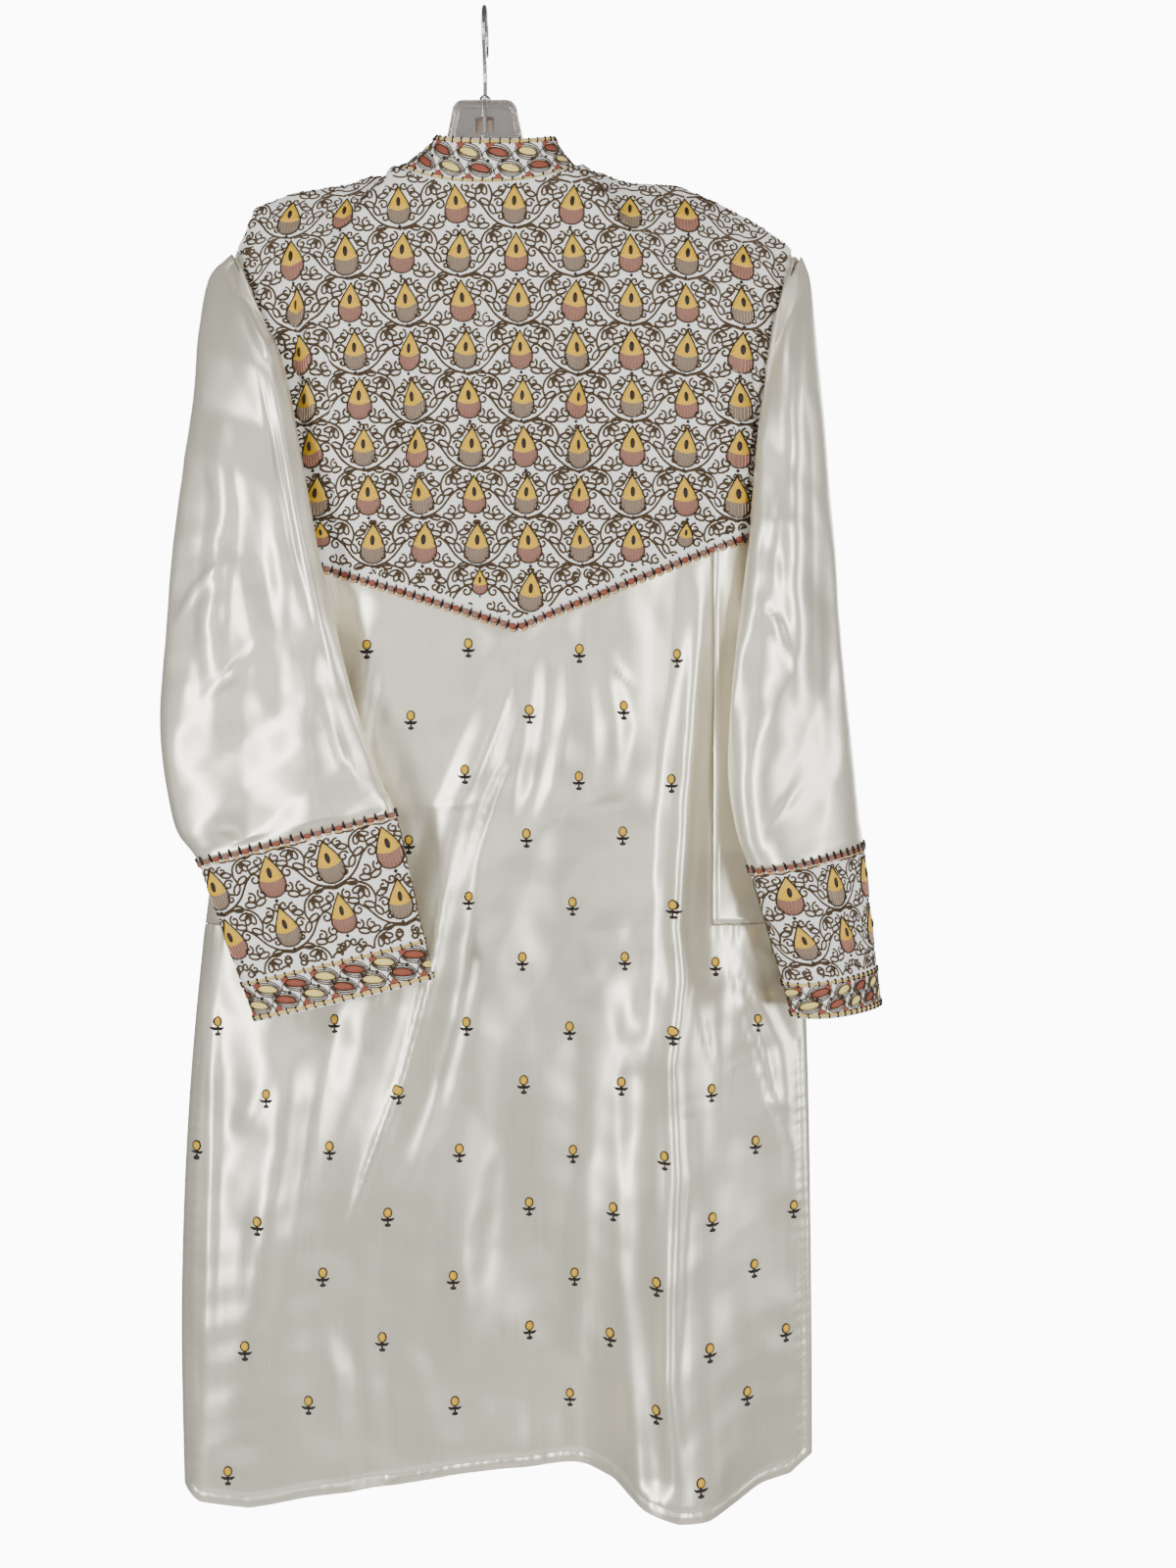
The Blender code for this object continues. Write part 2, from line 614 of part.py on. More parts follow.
def sleeve_points(key, t, s):
    """A sleeve's points: the arm's loops, with their ends drawn to the armhole's edges."""
    arm, right = ARMS[key], key == "right"
    points = arm_point(arm, t, s)
    index = np.arange(len(arm["in_x"]), dtype=float)
    down = smooth(index, arm["seam"], s)
    underarm = arm["seam"][-1]
    down = np.minimum(down, underarm)
    fade = 1 - ease((s - UNDERARM_SECTION[key]) / 1.5)
    back_pull = armhole_point(-1, down, right, underarm) - arm_point(arm, 0 * t, s)
    front_pull = armhole_point(1, down, right, underarm) - arm_point(arm, 0 * t + 1, s)
    back_share = (1 - ease(t / 0.20)) * fade
    front_share = ease((t - 0.70) / 0.30) * fade
    points = points + back_pull * back_share[..., None] + front_pull * front_share[..., None]
    closed = s > UNDERARM_SECTION[key]
    slack = np.where(closed, SLEEVE_SLACK, SLEEVE_SLACK * ease(t / 0.03))
    points = clear_of_body(points, -1, closed | (t < 0.45), slack)
    return clear_of_body(points, 1, ~closed & (t > 0.70), SLEEVE_SLACK * ease((1 - t) / 0.03))


def loop_shares():
    """Shares round a sleeve's loop, closer together beside its seam."""
    even = np.linspace(0, 1, SLEEVE_TURNS + 1)
    return SEAM_BUNCHING * (1 - np.cos(np.pi * even)) / 2 + (1 - SEAM_BUNCHING) * even


def sleeve(key, cloth):
    """A silk sleeve, an open curve beside the armhole and a closed tube below it."""
    open_rows, closed_rows = 10, 10
    under = UNDERARM_SECTION[key]
    s = np.concatenate([
        np.linspace(0, under - 0.12, open_rows - 2),
        [under - 0.03],
        under + (CUFF_SECTION - CUFF_GAP_SHARE - under) * np.linspace(0, 1, closed_rows) ** 1.4,
    ])
    t, s = np.meshgrid(loop_shares(), s)
    points = sleeve_points(key, t, s)
    ids = np.arange(points.shape[0] * points.shape[1]).reshape(points.shape[:2])
    ids[open_rows - 1:, -1] = ids[open_rows - 1:, 0]
    add_cloth(f"sleeve_{key}", points, cloth, -1 if key == "right" else 1, ids=ids)


def cuff(key, cloth):
    """An embroidered cuff, which carries on the sleeve's tube."""
    s = np.linspace(CUFF_SECTION + CUFF_GAP_SHARE, CUFF_SECTION + 2, 4)
    t, s = np.meshgrid(loop_shares(), s)
    points = arm_point(ARMS[key], t, s)
    ids = np.arange(points.shape[0] * points.shape[1]).reshape(points.shape[:2])
    ids[:, -1] = ids[:, 0]
    outward = -1 if key == "right" else 1
    add_cloth(f"cuff_{key}", points, cloth, outward, ids=ids, closed=True)


def collar_points(angle, height):
    """The collar's points, for an angle round the neck and a height share.

    Angle 0 is the centre front, and half a turn is the centre back. The band stands
    upright at the back and leans in at its sides.
    """
    sine, cosine = np.sin(angle), np.cos(angle)
    power = 2 / NECK_SQUARENESS
    across = np.sign(sine) * np.abs(sine) ** power
    forward = np.sign(cosine) * np.abs(cosine) ** power
    back = cosine < 0
    depth = np.where(back, NECK_DEPTH[-1], NECK_DEPTH[1])
    inset = 1 - np.abs(across) ** NECK_SQUARENESS
    drop = NECK_DOWN + np.where(back, NECK_DROP[-1], NECK_DROP[1]) * inset
    lean_side = COLLAR_SIDE_LEAN * np.abs(sine) ** 1.5
    lean_front = np.where(back, 0.0, COLLAR_FRONT_LEAN * np.abs(cosine))
    rise = np.sqrt(COLLAR_HEIGHT ** 2 - lean_side ** 2 - lean_front ** 2)
    half = NECK_HALF - COLLAR_INSET
    x = NECK_X + COLLAR_SHIFT * height + (half - lean_side * height) * across
    y = (depth - COLLAR_INSET - (lean_front + lean_side * 0.4) * height) * forward
    return np.stack([x, y, rise * height - drop], axis=-1)


def collar(cloth):
    """The stand collar, open at the centre front."""
    start = (COLLAR_OPENING / 2 / NECK_HALF) ** (NECK_SQUARENESS / 2)
    step = np.pi / (NECK_COLUMNS - 1)
    angle = np.arange(1, 2 * NECK_COLUMNS - 2) * step
    angle = np.concatenate([[start], angle, [2 * np.pi - start]])
    height = np.linspace(0, 1, 4)
    angle, height = np.meshgrid(angle, height)
    add_cloth("collar", collar_points(angle, height), cloth, -1)


def placket_points(across, down):
    """Points of the front, stated from the centre front."""
    return body_grid(1, centre_x(down) + across, down)


def placket(cloth):
    """The strip over the centre front."""
    across, down = np.meshgrid(
        np.linspace(-PLACKET_HALF, PLACKET_HALF, 5), np.linspace(PLACKET_TOP, PLACKET_END, 12)
    )
    add_cloth("placket", placket_points(across, down), cloth, 1, lift=LAP)


def button(number, finish):
    """A flat round button, set square on the placket."""
    down = np.array(BUTTON_FIRST + BUTTON_PITCH * number)
    step = 0.002
    centre = placket_points(np.array(0.0), down)
    along_x = placket_points(np.array(step), down) - placket_points(np.array(-step), down)
    along_z = placket_points(np.array(0.0), down - step) - placket_points(np.array(0.0), down + step)
    out = np.cross(along_z, along_x)
    out = out / np.linalg.norm(out)
    made = bmesh.new()
    bmesh.ops.create_cone(
        made, cap_ends=True, segments=16,
        radius1=BUTTON_RADIUS, radius2=BUTTON_RADIUS * 0.9, depth=BUTTON_THICK,
    )
    mesh = bpy.data.meshes.new(f"button_{number + 1}")
    made.to_mesh(mesh)
    made.free()
    part = add_object(f"button_{number + 1}", mesh, finish)
    stand_off = LAP + CLOTH + SEAM_GAP + BUTTON_THICK / 2
    part.location = centre + out * stand_off
    part.rotation_mode = "QUATERNION"
    part.rotation_quaternion = Vector(out).to_track_quat("Z", "Y")


def hanger_arm_mesh():
    """Both arms as one bar of rounded sections, from tip to tip, its right end a little high."""
    x = np.concatenate([-HANGER_ARM["x"][:0:-1], HANGER_ARM["x"]])
    reach = np.abs(x)
    top, height, thick = (np.interp(reach, HANGER_ARM["x"], HANGER_ARM[key]) for key in ("top", "height", "thick"))
    angle = np.linspace(0, 2 * np.pi, 12, endpoint=False)
    across = np.sign(np.cos(angle)) * np.abs(np.cos(angle)) ** 0.7
    rise = np.sign(np.sin(angle)) * np.abs(np.sin(angle)) ** 0.7
    middle = x * HANGER_TILT - (top + height / 2)
    rings = np.stack([
        np.broadcast_to(x[:, None], (len(x), 12)),
        thick[:, None] / 2 * across,
        middle[:, None] + height[:, None] / 2 * rise,
    ], axis=-1)
    ids = np.arange(rings.shape[0] * 12).reshape(-1, 12)
    after = np.roll(ids, -1, axis=1)
    quads = np.stack([ids[:-1], after[:-1], after[1:], ids[1:]], axis=-1).reshape(-1, 4)
    faces = quads.tolist() + [ids[0, ::-1].tolist(), ids[-1].tolist()]
    mesh = bpy.data.meshes.new("hanger_body")
    mesh.from_pydata(rings.reshape(-1, 3).tolist(), [], faces)
    return mesh


def plate_object():
    """The upright plate in the hanger's middle, narrower at its round-cornered top."""
    corner = np.linspace(0, np.pi / 2, 5)
    right = np.stack([
        PLATE_HALF_TOP - PLATE_CORNER + PLATE_CORNER * np.cos(corner),
        -PLATE_TOP - PLATE_CORNER + PLATE_CORNER * np.sin(corner),
    ], axis=-1)
    outline = np.concatenate([[(PLATE_HALF_END, -PLATE_END)], right])
    outline = np.concatenate([outline, outline[::-1] * (-1, 1)])
    half = PLATE_THICK / 2
    front = [(x, half, z) for x, z in outline]
    back = [(x, -half, z) for x, z in outline]
    count = len(outline)
    faces = [list(range(count))[::-1], [count + k for k in range(count)]]
    faces += [[k, (k + 1) % count, count + (k + 1) % count, count + k] for k in range(count)]
    mesh = bpy.data.meshes.new("plate")
    mesh.from_pydata(front + back, [], faces)
    return helper("plate", mesh)


def helper(name, mesh):
    """A cutter or an added shape, which isn't drawn."""
    part = bpy.data.objects.new(name, mesh)
    bpy.context.scene.collection.objects.link(part)
    part.hide_render = True
    part.display_type = "WIRE"
    made = bmesh.new()
    made.from_mesh(mesh)
    bmesh.ops.recalc_face_normals(made, faces=made.faces)
    made.to_mesh(mesh)
    made.free()
    return part


def box(name, low, high):
    """A box between two corners."""
    made = bmesh.new()
    bmesh.ops.create_cube(made, size=1.0)
    mesh = bpy.data.meshes.new(name)
    made.to_mesh(mesh)
    made.free()
    part = helper(name, mesh)
    low, high = np.array(low), np.array(high)
    part.scale = high - low
    part.location = (low + high) / 2
    return part


def shank_cutter():
    """The hole that the hook's wire stands in."""
    made = bmesh.new()
    radius = WIRE_RADIUS + SEAM_GAP
    top, end = PLATE_TOP - 0.004, SHANK_END + SEAM_GAP
    bmesh.ops.create_cone(made, cap_ends=True, segments=16, radius1=radius, radius2=radius, depth=end - top)
    mesh = bpy.data.meshes.new("shank_cutter")
    made.to_mesh(mesh)
    made.free()
    part = helper("shank_cutter", mesh)
    part.location = (0, 0, -(top + end) / 2)
    return part


def hanger(plastic, metal):
    """The hanger: its arms and plate as one body with a window, and its hook."""
    body = add_object("hanger_body", hanger_arm_mesh(), plastic)
    window = box(
        "window_cutter", (-WINDOW_HALF, -0.02, -WINDOW_END), (WINDOW_HALF, 0.02, -WINDOW_TOP)
    )
    for other, operation in ((plate_object(), "UNION"), (window, "DIFFERENCE"), (shank_cutter(), "DIFFERENCE")):
        step = body.modifiers.new(other.name, "BOOLEAN")
        step.object = other
        step.operation = operation
    hook_object(metal)


def hook_object(metal):
    """The hook's wire: up the shank, aside, and round over the rail to its tip."""
    centre = WIRE_RADIUS - HOOK_RADIUS
    angle = np.radians(np.linspace(236, -22, 24))
    bend = np.stack([HOOK_RADIUS * np.cos(angle), centre + HOOK_RADIUS * np.sin(angle)], axis=-1)
    shank = [(0, -SHANK_END), (0, -0.080), (0, -0.056), (-0.0012, -0.0495), (-0.0045, -0.0435)]
    curve = bpy.data.curves.new("hanger_hook", "CURVE")
    curve.dimensions = "3D"
    curve.bevel_depth = WIRE_RADIUS
    curve.bevel_resolution = 2
    curve.use_fill_caps = True
    line = curve.splines.new("POLY")
    points = np.concatenate([shank, bend])
    line.points.add(len(points) - 1)
    for point, (y, z) in zip(line.points, points):
        point.co = (0, y, z, 1)
    curve.materials.append(metal)
    part = bpy.data.objects.new("hanger_hook", curve)
    bpy.context.scene.collection.objects.link(part)


def main():
    """Clears the file and makes every piece."""
    for item in list(bpy.data.objects):
        bpy.data.objects.remove(item)
    silk = material("silk", (0.72, 0.70, 0.63), 0.35)
    embroidered = material("embroidered", (0.62, 0.52, 0.36), 0.6)
    plastic = material("hanger_plastic", (0.28, 0.25, 0.22), 0.2, alpha=0.6)
    metal = material("hook_metal", (0.60, 0.60, 0.60), 0.25, metallic=1.0)
    pearl = material("button_pearl", (0.75, 0.70, 0.58), 0.25)
    hanger(plastic, metal)
    back_yoke(embroidered)
    front_yoke("front_yoke_left", False, embroidered)
    front_yoke("front_yoke_right", True, embroidered)
    lower_panel("back_panel", -1, silk, columns=21)
    lower_panel("front_panel", 1, silk, columns=13)
    side_panel("side_panel_left", False, silk)
    side_panel("side_panel_right", True, silk)
    collar(embroidered)
    placket(embroidered)
    for number in range(BUTTON_COUNT):
        button(number, pearl)
    for key in ARMS:
        sleeve(key, silk)
        cuff(key, embroidered)


main()
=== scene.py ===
import bmesh
import bpy
import numpy as np
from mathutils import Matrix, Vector
from bpy.props import FloatProperty, FloatVectorProperty, IntProperty, PointerProperty


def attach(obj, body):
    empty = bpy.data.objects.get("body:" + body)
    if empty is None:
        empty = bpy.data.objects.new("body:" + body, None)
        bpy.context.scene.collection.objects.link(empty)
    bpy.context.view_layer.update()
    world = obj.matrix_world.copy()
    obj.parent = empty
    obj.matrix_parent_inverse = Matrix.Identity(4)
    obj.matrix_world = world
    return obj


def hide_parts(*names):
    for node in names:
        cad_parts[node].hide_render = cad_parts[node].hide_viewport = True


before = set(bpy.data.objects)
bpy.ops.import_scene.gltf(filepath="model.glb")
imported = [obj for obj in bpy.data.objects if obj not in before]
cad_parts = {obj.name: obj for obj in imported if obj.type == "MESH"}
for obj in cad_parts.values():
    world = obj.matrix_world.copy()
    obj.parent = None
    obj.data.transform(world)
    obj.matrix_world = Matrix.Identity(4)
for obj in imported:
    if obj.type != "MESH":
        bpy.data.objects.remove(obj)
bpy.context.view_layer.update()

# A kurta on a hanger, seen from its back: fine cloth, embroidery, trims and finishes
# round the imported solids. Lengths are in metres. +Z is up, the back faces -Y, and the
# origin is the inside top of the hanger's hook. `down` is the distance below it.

bl_info = {
    "name": "Kurta on a hanger",
    "version": (1, 0, 0),
    "blender": (4, 5, 0),
    "location": "View3D > Sidebar > Kurta",
    "description": "A silk kurta with an embroidered yoke, collar and cuffs, hung on a clear hanger",
    "category": "Object",
}

BODY_NAME = "root"
# How far the cloth's outer face lies outside a surface, the cloth's wall, a seam's gap, and
# how far one cloth lies over another.
CLOTH = 0.0015
SHELL = 0.0007
SEAM_GAP = 0.0003
LAP = CLOTH + 0.0005


def table(columns, rows):
    """Rows of numbers in millimetres, with commas between rows, as named columns in metres."""
    values = np.array([row.split() for row in rows.split(",")], float) / 1000
    return dict(zip(columns.split(), values.T))


def folds(text):
    """Bent lines, with semicolons between them: x, down, half width and height outwards."""
    return [table("x down half out", rows) for rows in text.split(";")]


# The garment's cut and hang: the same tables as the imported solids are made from.
BODY = table("down left_x left_y right_x right_y back front", """
    190 -202 0 250 0 59 53, 300 -190 -2 236 -2 57 52, 430 -180 -4 230 -4 54 50, 600 -201 -6 242 -2 48 48,
    730 -217 -12 250 0 42 45, 850 -226 -20 254 0 38 42, 1000 -230 -26 256 0 34 40,
    1160 -226 -30 256.5 0 30 38
""")
SIDE_ROUNDNESS = 2.5
SHOULDER = table("x down", """
    -202 201, -198 194, -188 176.5, -180 157, -151 145.5, -108 139.5, -87 132.5, -69 134.5, 76 131,
    85 128.5, 112 138, 151 140, 182 153, 213 169, 236 184, 252 200
""")
BEND_DROP, BEND_SHARE, SPREAD_DROP = 0.010, 0.20, 0.100
ARMHOLE_SHARE = 0.02
NECK_LEFT, NECK_RIGHT = -0.0690, 0.0760
NECK_X = (NECK_LEFT + NECK_RIGHT) / 2
NECK_HALF = (NECK_RIGHT - NECK_LEFT) / 2
NECK_DOWN = 0.1323
NECK_DEPTH = {-1: 0.058, 1: 0.052}
NECK_DROP = {-1: 0.025, 1: 0.058}
NECK_SQUARENESS = 2.8
NECK_SPREAD = 0.080
YOKE_SEAM = table("x down", "-180 427.5, 28 491.5, 230 409.5")
YOKE_TIP_X = 0.028
SIDE_SEAM_LEFT, SIDE_SEAM_RIGHT = -0.121, 0.1766
GATHER_DOWN = 0.718
SLIT_DOWN = 0.810
SLIT_SPREAD = 0.005
BACK_HEM = table("x down y", """
    -230 1140 -40, -212 1151.5 -52, -174 1155 -54, -119 1147 -52, -67 1141 -50, -23 1136 -42,
    28.5 1135 -28, 82 1136 -22, 102 1138.5 -40, 124 1151 -68, 148 1157 -78, 170 1158 -70, 193 1153.5 -48,
    212 1147.5 -32, 238 1146 -14, 258 1134 -2
""")
FRONT_HEM = table("x down y", """
    -230 1140 -16, -190 1150 14, -130 1150 36, -60 1144 22, 10 1150 44, 80 1144 28, 150 1150 46,
    210 1145 26, 258 1134 4
""")
HEMS = {-1: BACK_HEM, 1: FRONT_HEM}
HEM_BLEND_TOP, HEM_BLEND_END, HEM_BLEND_POWER = 0.52, 1.15, 1.4
LONG_FOLDS = {
    -1: folds("""
        166 430 18 0, 166 500 20 5, 155 610 22 9, 152 760 24 8, 148 960 26 0;
        28 500 20 0, 10 560 22 4, -26 670 26 7, -37 760 30 8, -67 860 34 7, -104 960 34 0;
        -125 200 12 0, -128 260 14 6, -124 400 14 6, -122 560 16 0;
        196 210 14 0, 194 270 16 6, 192 400 16 5, 190 480 16 0;
        10 200 45 0, 12 300 45 -5, 20 440 50 -4, 40 600 50 0;
        -170 740 30 0, -160 860 34 6, -172 1000 36 4, -180 1120 36 0
    """),
    1: folds("""
        -60 500 30 0, -70 700 34 -7, -64 900 36 -7, -60 1100 36 0;
        110 500 30 0, 104 680 34 -8, 90 900 36 -7, 82 1100 36 0
    """),
}
ARM_COLUMNS = "in_x in_y in_down out_x out_y out_down near far seam"
ARMS = {
    "left": table(ARM_COLUMNS, """
        -186 -1 216 -198 0 193.5 12 12 193, -180 -22 231 -211 -4 214 17 18 220,
        -166 -44 258 -216 -20 257 16 22 260, -149 -60 302 -218 -38 310.4 14 24 306,
        -134 -70 370 -224 -50 373.4 14 22 370, -122 -74 430 -229 -60 429 15 16 427.5,
        -109 -78 485 -233.2 -66 500 17 11 427.5, -92 -81 552.7 -235.5 -72 569.5 18 10 427.5,
        -72 -85 609 -224 -78 638 16 10 427.5, -61.8 -87 632 -205 -82 667.8 14 12 427.5,
        -47.5 -90 692.8 -182.8 -86 725.8 14 12 427.5, -33.2 -93 753.7 -160.6 -90 783.8 16 13 427.5
    """),
    "right": table(ARM_COLUMNS, """
        237 -1 218 248 0 195 12 12 195, 232 -20 240 250 -2 218 14 16 222,
        225 -38 275.7 253 -6 266 16 20 266, 216.5 -50 335.2 258 -10 330 20 22 325,
        207.9 -60 412 265 -12 408 22 18 409.5, 197.5 -68 491.5 272 -10 485 23 15 409.5,
        190 -74 560 279 -6 552 23 13 409.5, 188.5 -78 608 285 -4 600 23 12 409.5,
        195 -80 648 288.5 -2 636 23 12 409.5, 204.5 -80 673.2 291 0 657 24 14 409.5,
        224 -74 729.3 296 2 719.8 24 18 409.5, 243 -68 785.4 301 4 782.6 25 21 409.5
    """),
}
UNDERARM_SECTION = {"left": 5, "right": 4}
UNDERARM_TURN = 0.0006
UNDERARM_ROOM = 0.0045
SLEEVE_LAP = CLOTH + 0.0014
SLEEVE_SLACK = 0.003
CORNER_DEPTH = 0.015
CUFF_SECTION = 9
SEAM_ANGLE = np.radians(255)
LOOP_SQUARENESS = 2.4
CUFF_GAP_SHARE = 0.004
CUFF_DEPTH = 0.125
CUFF_DROP_PITCH = 0.0415
COLLAR_HEIGHT = 0.034
COLLAR_SIDE_LEAN = 0.027
COLLAR_FRONT_LEAN = 0.010
COLLAR_OPENING = 0.004
COLLAR_INSET = LAP + SEAM_GAP
COLLAR_SHIFT = 0.0066
PLACKET_HALF = 0.016
PLACKET_TOP, PLACKET_END = 0.200, 0.512
BUTTON_RADIUS, BUTTON_THICK = 0.0057, 0.0024
BUTTON_COUNT, BUTTON_FIRST, BUTTON_PITCH = 5, 0.222, 0.060
PLATE_HALF_TOP, PLATE_HALF_END = 0.0258, 0.0370
PLATE_TOP, PLATE_END, PLATE_THICK, PLATE_CORNER = 0.071, 0.136, 0.0080, 0.009
WINDOW_HALF, WINDOW_TOP, WINDOW_END = 0.0072, 0.0843, 0.0967
WIRE_RADIUS = 0.00175


# Creases of the silk below the yoke, on the back.
BACK_CREASES = folds("""
    29 510 4 0, 15 559 4 1.2, 0 599 4 1.4, -7 615 4 0;
    24 590 4 0, 15 602 4 1.3, 5 625 5 1.3, -16 696 4 0;
    -39 627 4 0, -19 625 5 1.2, 1 623 4 0;
    -20 655 4 0, -40 759 5 2, -58 830 5 2, -84 900 5 1.6, -104 960 5 0;
    -6 690 14 0, -20 770 20 -2.4, -40 850 22 -2.4, -74 940 18 0;
    -60 700 16 0, -84 790 24 2.2, -110 880 26 2.4, -136 980 20 0;
    -100 1000 18 0, -90 1060 24 -2.4, -84 1130 22 -2;
    73 624 4 0, 59 635 4 0.8, 44 647 4 0;
    75 631 5 0, 96 625 6 -0.8, 118 623 5 0;
    98 517 5 0, 107 527 6 1.2, 116 536 5 0;
    55 492 14 0, 52 551 18 -3, 41 610 16 -3, 30 648 12 0;
    90 507 14 0, 100 566 18 2.5, 96 624 14 0;
    -78 462 14 0, -88 536 16 2, -100 610 14 1.5, -104 648 12 0;
    96 744 18 0, 122 796 22 1.5, 155 855 18 0;
    167 462 8 0, 161 536 9 2, 155 610 9 2.5, 148 718 9 3, 152 759 9 3, 144 823 9 3, 148 907 10 3,
    141 1055 10 3, 148 1129 10 0;
    130 759 16 0, 120 833 18 -3, 122 981 18 -3.5, 132 1129 16 -3;
    182 728 4 0, 197 765 5 1.5, 211 814 5 1.5, 224 856 5 1.2, 239 894 4 0;
    162 765 4 0, 170 802 5 1.2, 180 840 4 0;
    184 835 4 0, 198 825 5 1, 211 818 4 0;
    144 860 5 0, 163 856 6 1.2, 182 853 5 0;
    211 848 4 0, 226 858 5 1.2, 241 860 4 0;
    189 729 8 0, 211 773 10 1.8, 230 814 12 1.8, 244 936 10 0;
    189 729 10 0, 181 796 12 -1.5, 178 933 12 0;
    -163 833 10 0, -176 859 12 1.5, -189 885 10 0;
    -205 722 6 0, -204 833 7 1.5, -205 981 7 1.5, -208 1114 6 0;
    -119 759 16 0, -141 848 20 2, -167 981 20 2, -178 1077 16 0;
    22 870 18 0, 7 966 22 -1.8, 0 1070 18 0
""")
# Creases of the hidden front, of the same kinds.
FRONT_CREASES = folds("""
    20 520 4 0, 10 580 4 1.2, -14 650 4 0;
    60 500 14 0, 66 580 18 2.5, 58 690 14 0;
    -30 500 14 0, -40 590 18 -2, -36 720 14 0;
    150 560 10 0, 146 760 12 2.5, 150 980 12 2, 146 1120 10 0;
    -120 560 10 0, -130 760 12 2, -142 980 12 2, -150 1120 10 0;
    30 700 16 0, 20 860 20 2, 34 1020 18 1.5, 40 1120 16 0;
    -90 700 5 0, -70 712 6 1.2, -44 714 5 0;
    80 640 5 0, 100 655 5 1.2, 118 662 4 0;
    190 726 5 0, 206 790 6 1.5, 226 860 5 0;
    -150 726 5 0, -170 790 6 1.5, -192 870 5 0
""")
# Soft flutes of the yoke.
YOKE_CREASES = {
    -1: folds("""
        -150 206 10 0, -143 240 13 -3.4, -134 314 15 -5, -128 380 14 -4, -122 438 12 0;
        -168 230 7 0, -158 300 8 2, -148 380 8 1.5, -140 430 7 0;
        -112 230 9 0, -106 300 10 1.6, -104 400 10 0;
        191 262 8 0, 193 329 9 -2, 191 418 8 0;
        -159 212 5 0, -169 229 6 1.6, -169 240 5 0;
        -60 230 14 0, -57 310 18 -5, -54 390 18 -5, -52 446 14 0;
        80 240 14 0, 76 320 18 -4.6, 73 390 18 -4.6, 70 452 14 0;
        20 200 14 0, 14 330 18 1.6, 14 460 14 0;
        128 220 14 0, 130 320 16 -1.8, 132 420 14 0
    """),
    1: folds("""
        -130 240 10 0, -124 320 12 -2, -118 430 10 0;
        170 240 10 0, 168 320 12 -2, 166 415 10 0
    """),
}
# Creases of the two sleeves, on the side towards the back (-1) and towards the front (1).
SLEEVE_CREASES = {
    "left": {
        -1: folds("""
            -197 336 12 0, -189 408 14 2, -197 495 14 2, -189 582 12 0;
            -226 495 6 0, -208 466 8 1.5, -182 444 6 0;
            -208 553 6 0, -179 531 8 1.5, -150 495 6 0;
            -114 538 5 0, -99 589 6 1.5, -83 618 4 0;
            -190 643 4 0, -180 645 5 1.2, -169 655 4 0;
            -176 222 6 0, -163 249 7 4.5, -151 271 7 4.5, -145 284 5 0;
            -188 226 6 0, -167 271 7 4, -157 287 7 4, -143 307 5 0;
            -174 236 5 0, -164 262 6 -5, -154 280 5 0;
            -158 290 4 0, -142 370 4 2, -130 430 4 2.2, -117 485 4 2, -100 553 4 0;
            -165 300 4 0, -149 372 4 -1.6, -137 432 4 -1.6, -124 487 4 0;
            -164 379 12 0, -158 466 15 -2, -143 567 12 0
        """),
        1: folds("""
            -205 340 12 0, -200 430 14 -2, -190 560 12 0;
            -150 420 8 0, -170 470 9 1.5, -200 500 8 0;
            -110 560 8 0, -140 590 9 -1.5, -180 610 8 0
        """),
    },
    "right": {
        -1: folds("""
            228 265 12 0, 237 353 14 2, 239 464 14 2.5, 245 574 12 0;
            199 464 6 0, 221 493 8 1.5, 239 530 6 0;
            210 647 6 0, 228 625 8 1.5, 245 603 6 0;
            261 390 10 0, 265 493 12 -2, 267 610 10 0;
            217 317 8 0, 215 405 10 -1.8, 210 478 8 0
        """),
        1: folds("""
            240 300 12 0, 246 420 14 -2, 252 560 12 0;
            215 540 8 0, 240 566 9 1.5, 268 570 8 0
        """),
    },
}
GATHER_PITCH, GATHER_HEIGHT, GATHER_REACH = 0.0085, 0.0014, 0.026
HEM_WIDTH, HEM_PUCKER, HEM_PUCKER_PITCH = 0.0080, 0.0006, 0.0085
RIPPLE_HEIGHT = 0.0007
# Creases this far across, or more, from their middle are round, and those narrower by the
# second number are pointed.
ROUND_HALF, ROUND_RANGE = 0.012, 0.006


def joined(*parts):
    """Arrays side by side on a new last axis, such as the coordinates of points."""
    return np.stack(np.broadcast_arrays(*parts), axis=-1)


def unit(vectors):
    """Vectors made one long."""
    return vectors / np.maximum(np.linalg.norm(vectors, axis=-1, keepdims=True), 1e-12)


def signed_power(value, power):
    """A power of a value's size, with the value's own sign."""
    return np.sign(value) * np.abs(value) ** power


def smooth(at, values, x):
    """A cubic curve through the values, each slope set by its neighbours, held at both ends."""
    slopes = np.gradient(values, at)
    x = np.clip(x, at[0], at[-1])
    i = np.clip(np.searchsorted(at, x, side="right") - 1, 0, len(at) - 2)
    width = at[i + 1] - at[i]
    f = (x - at[i]) / width
    start = (1 + 2 * f) * (1 - f) ** 2 * values[i] + f * (1 - f) ** 2 * width * slopes[i]
    end = f * f * (3 - 2 * f) * values[i + 1] + f * f * (f - 1) * width * slopes[i + 1]
    return start + end


def ease(f):
    """0 to 1 with level ends, as f goes from 0 to 1."""
    f = np.clip(f, 0, 1)
    return f * f * (3 - 2 * f)


def bell(distance):
    """A soft bump, 1 in its middle and 0 from a distance of 1."""
    return (1 - np.clip(np.abs(distance), 0, 1) ** 2) ** 2


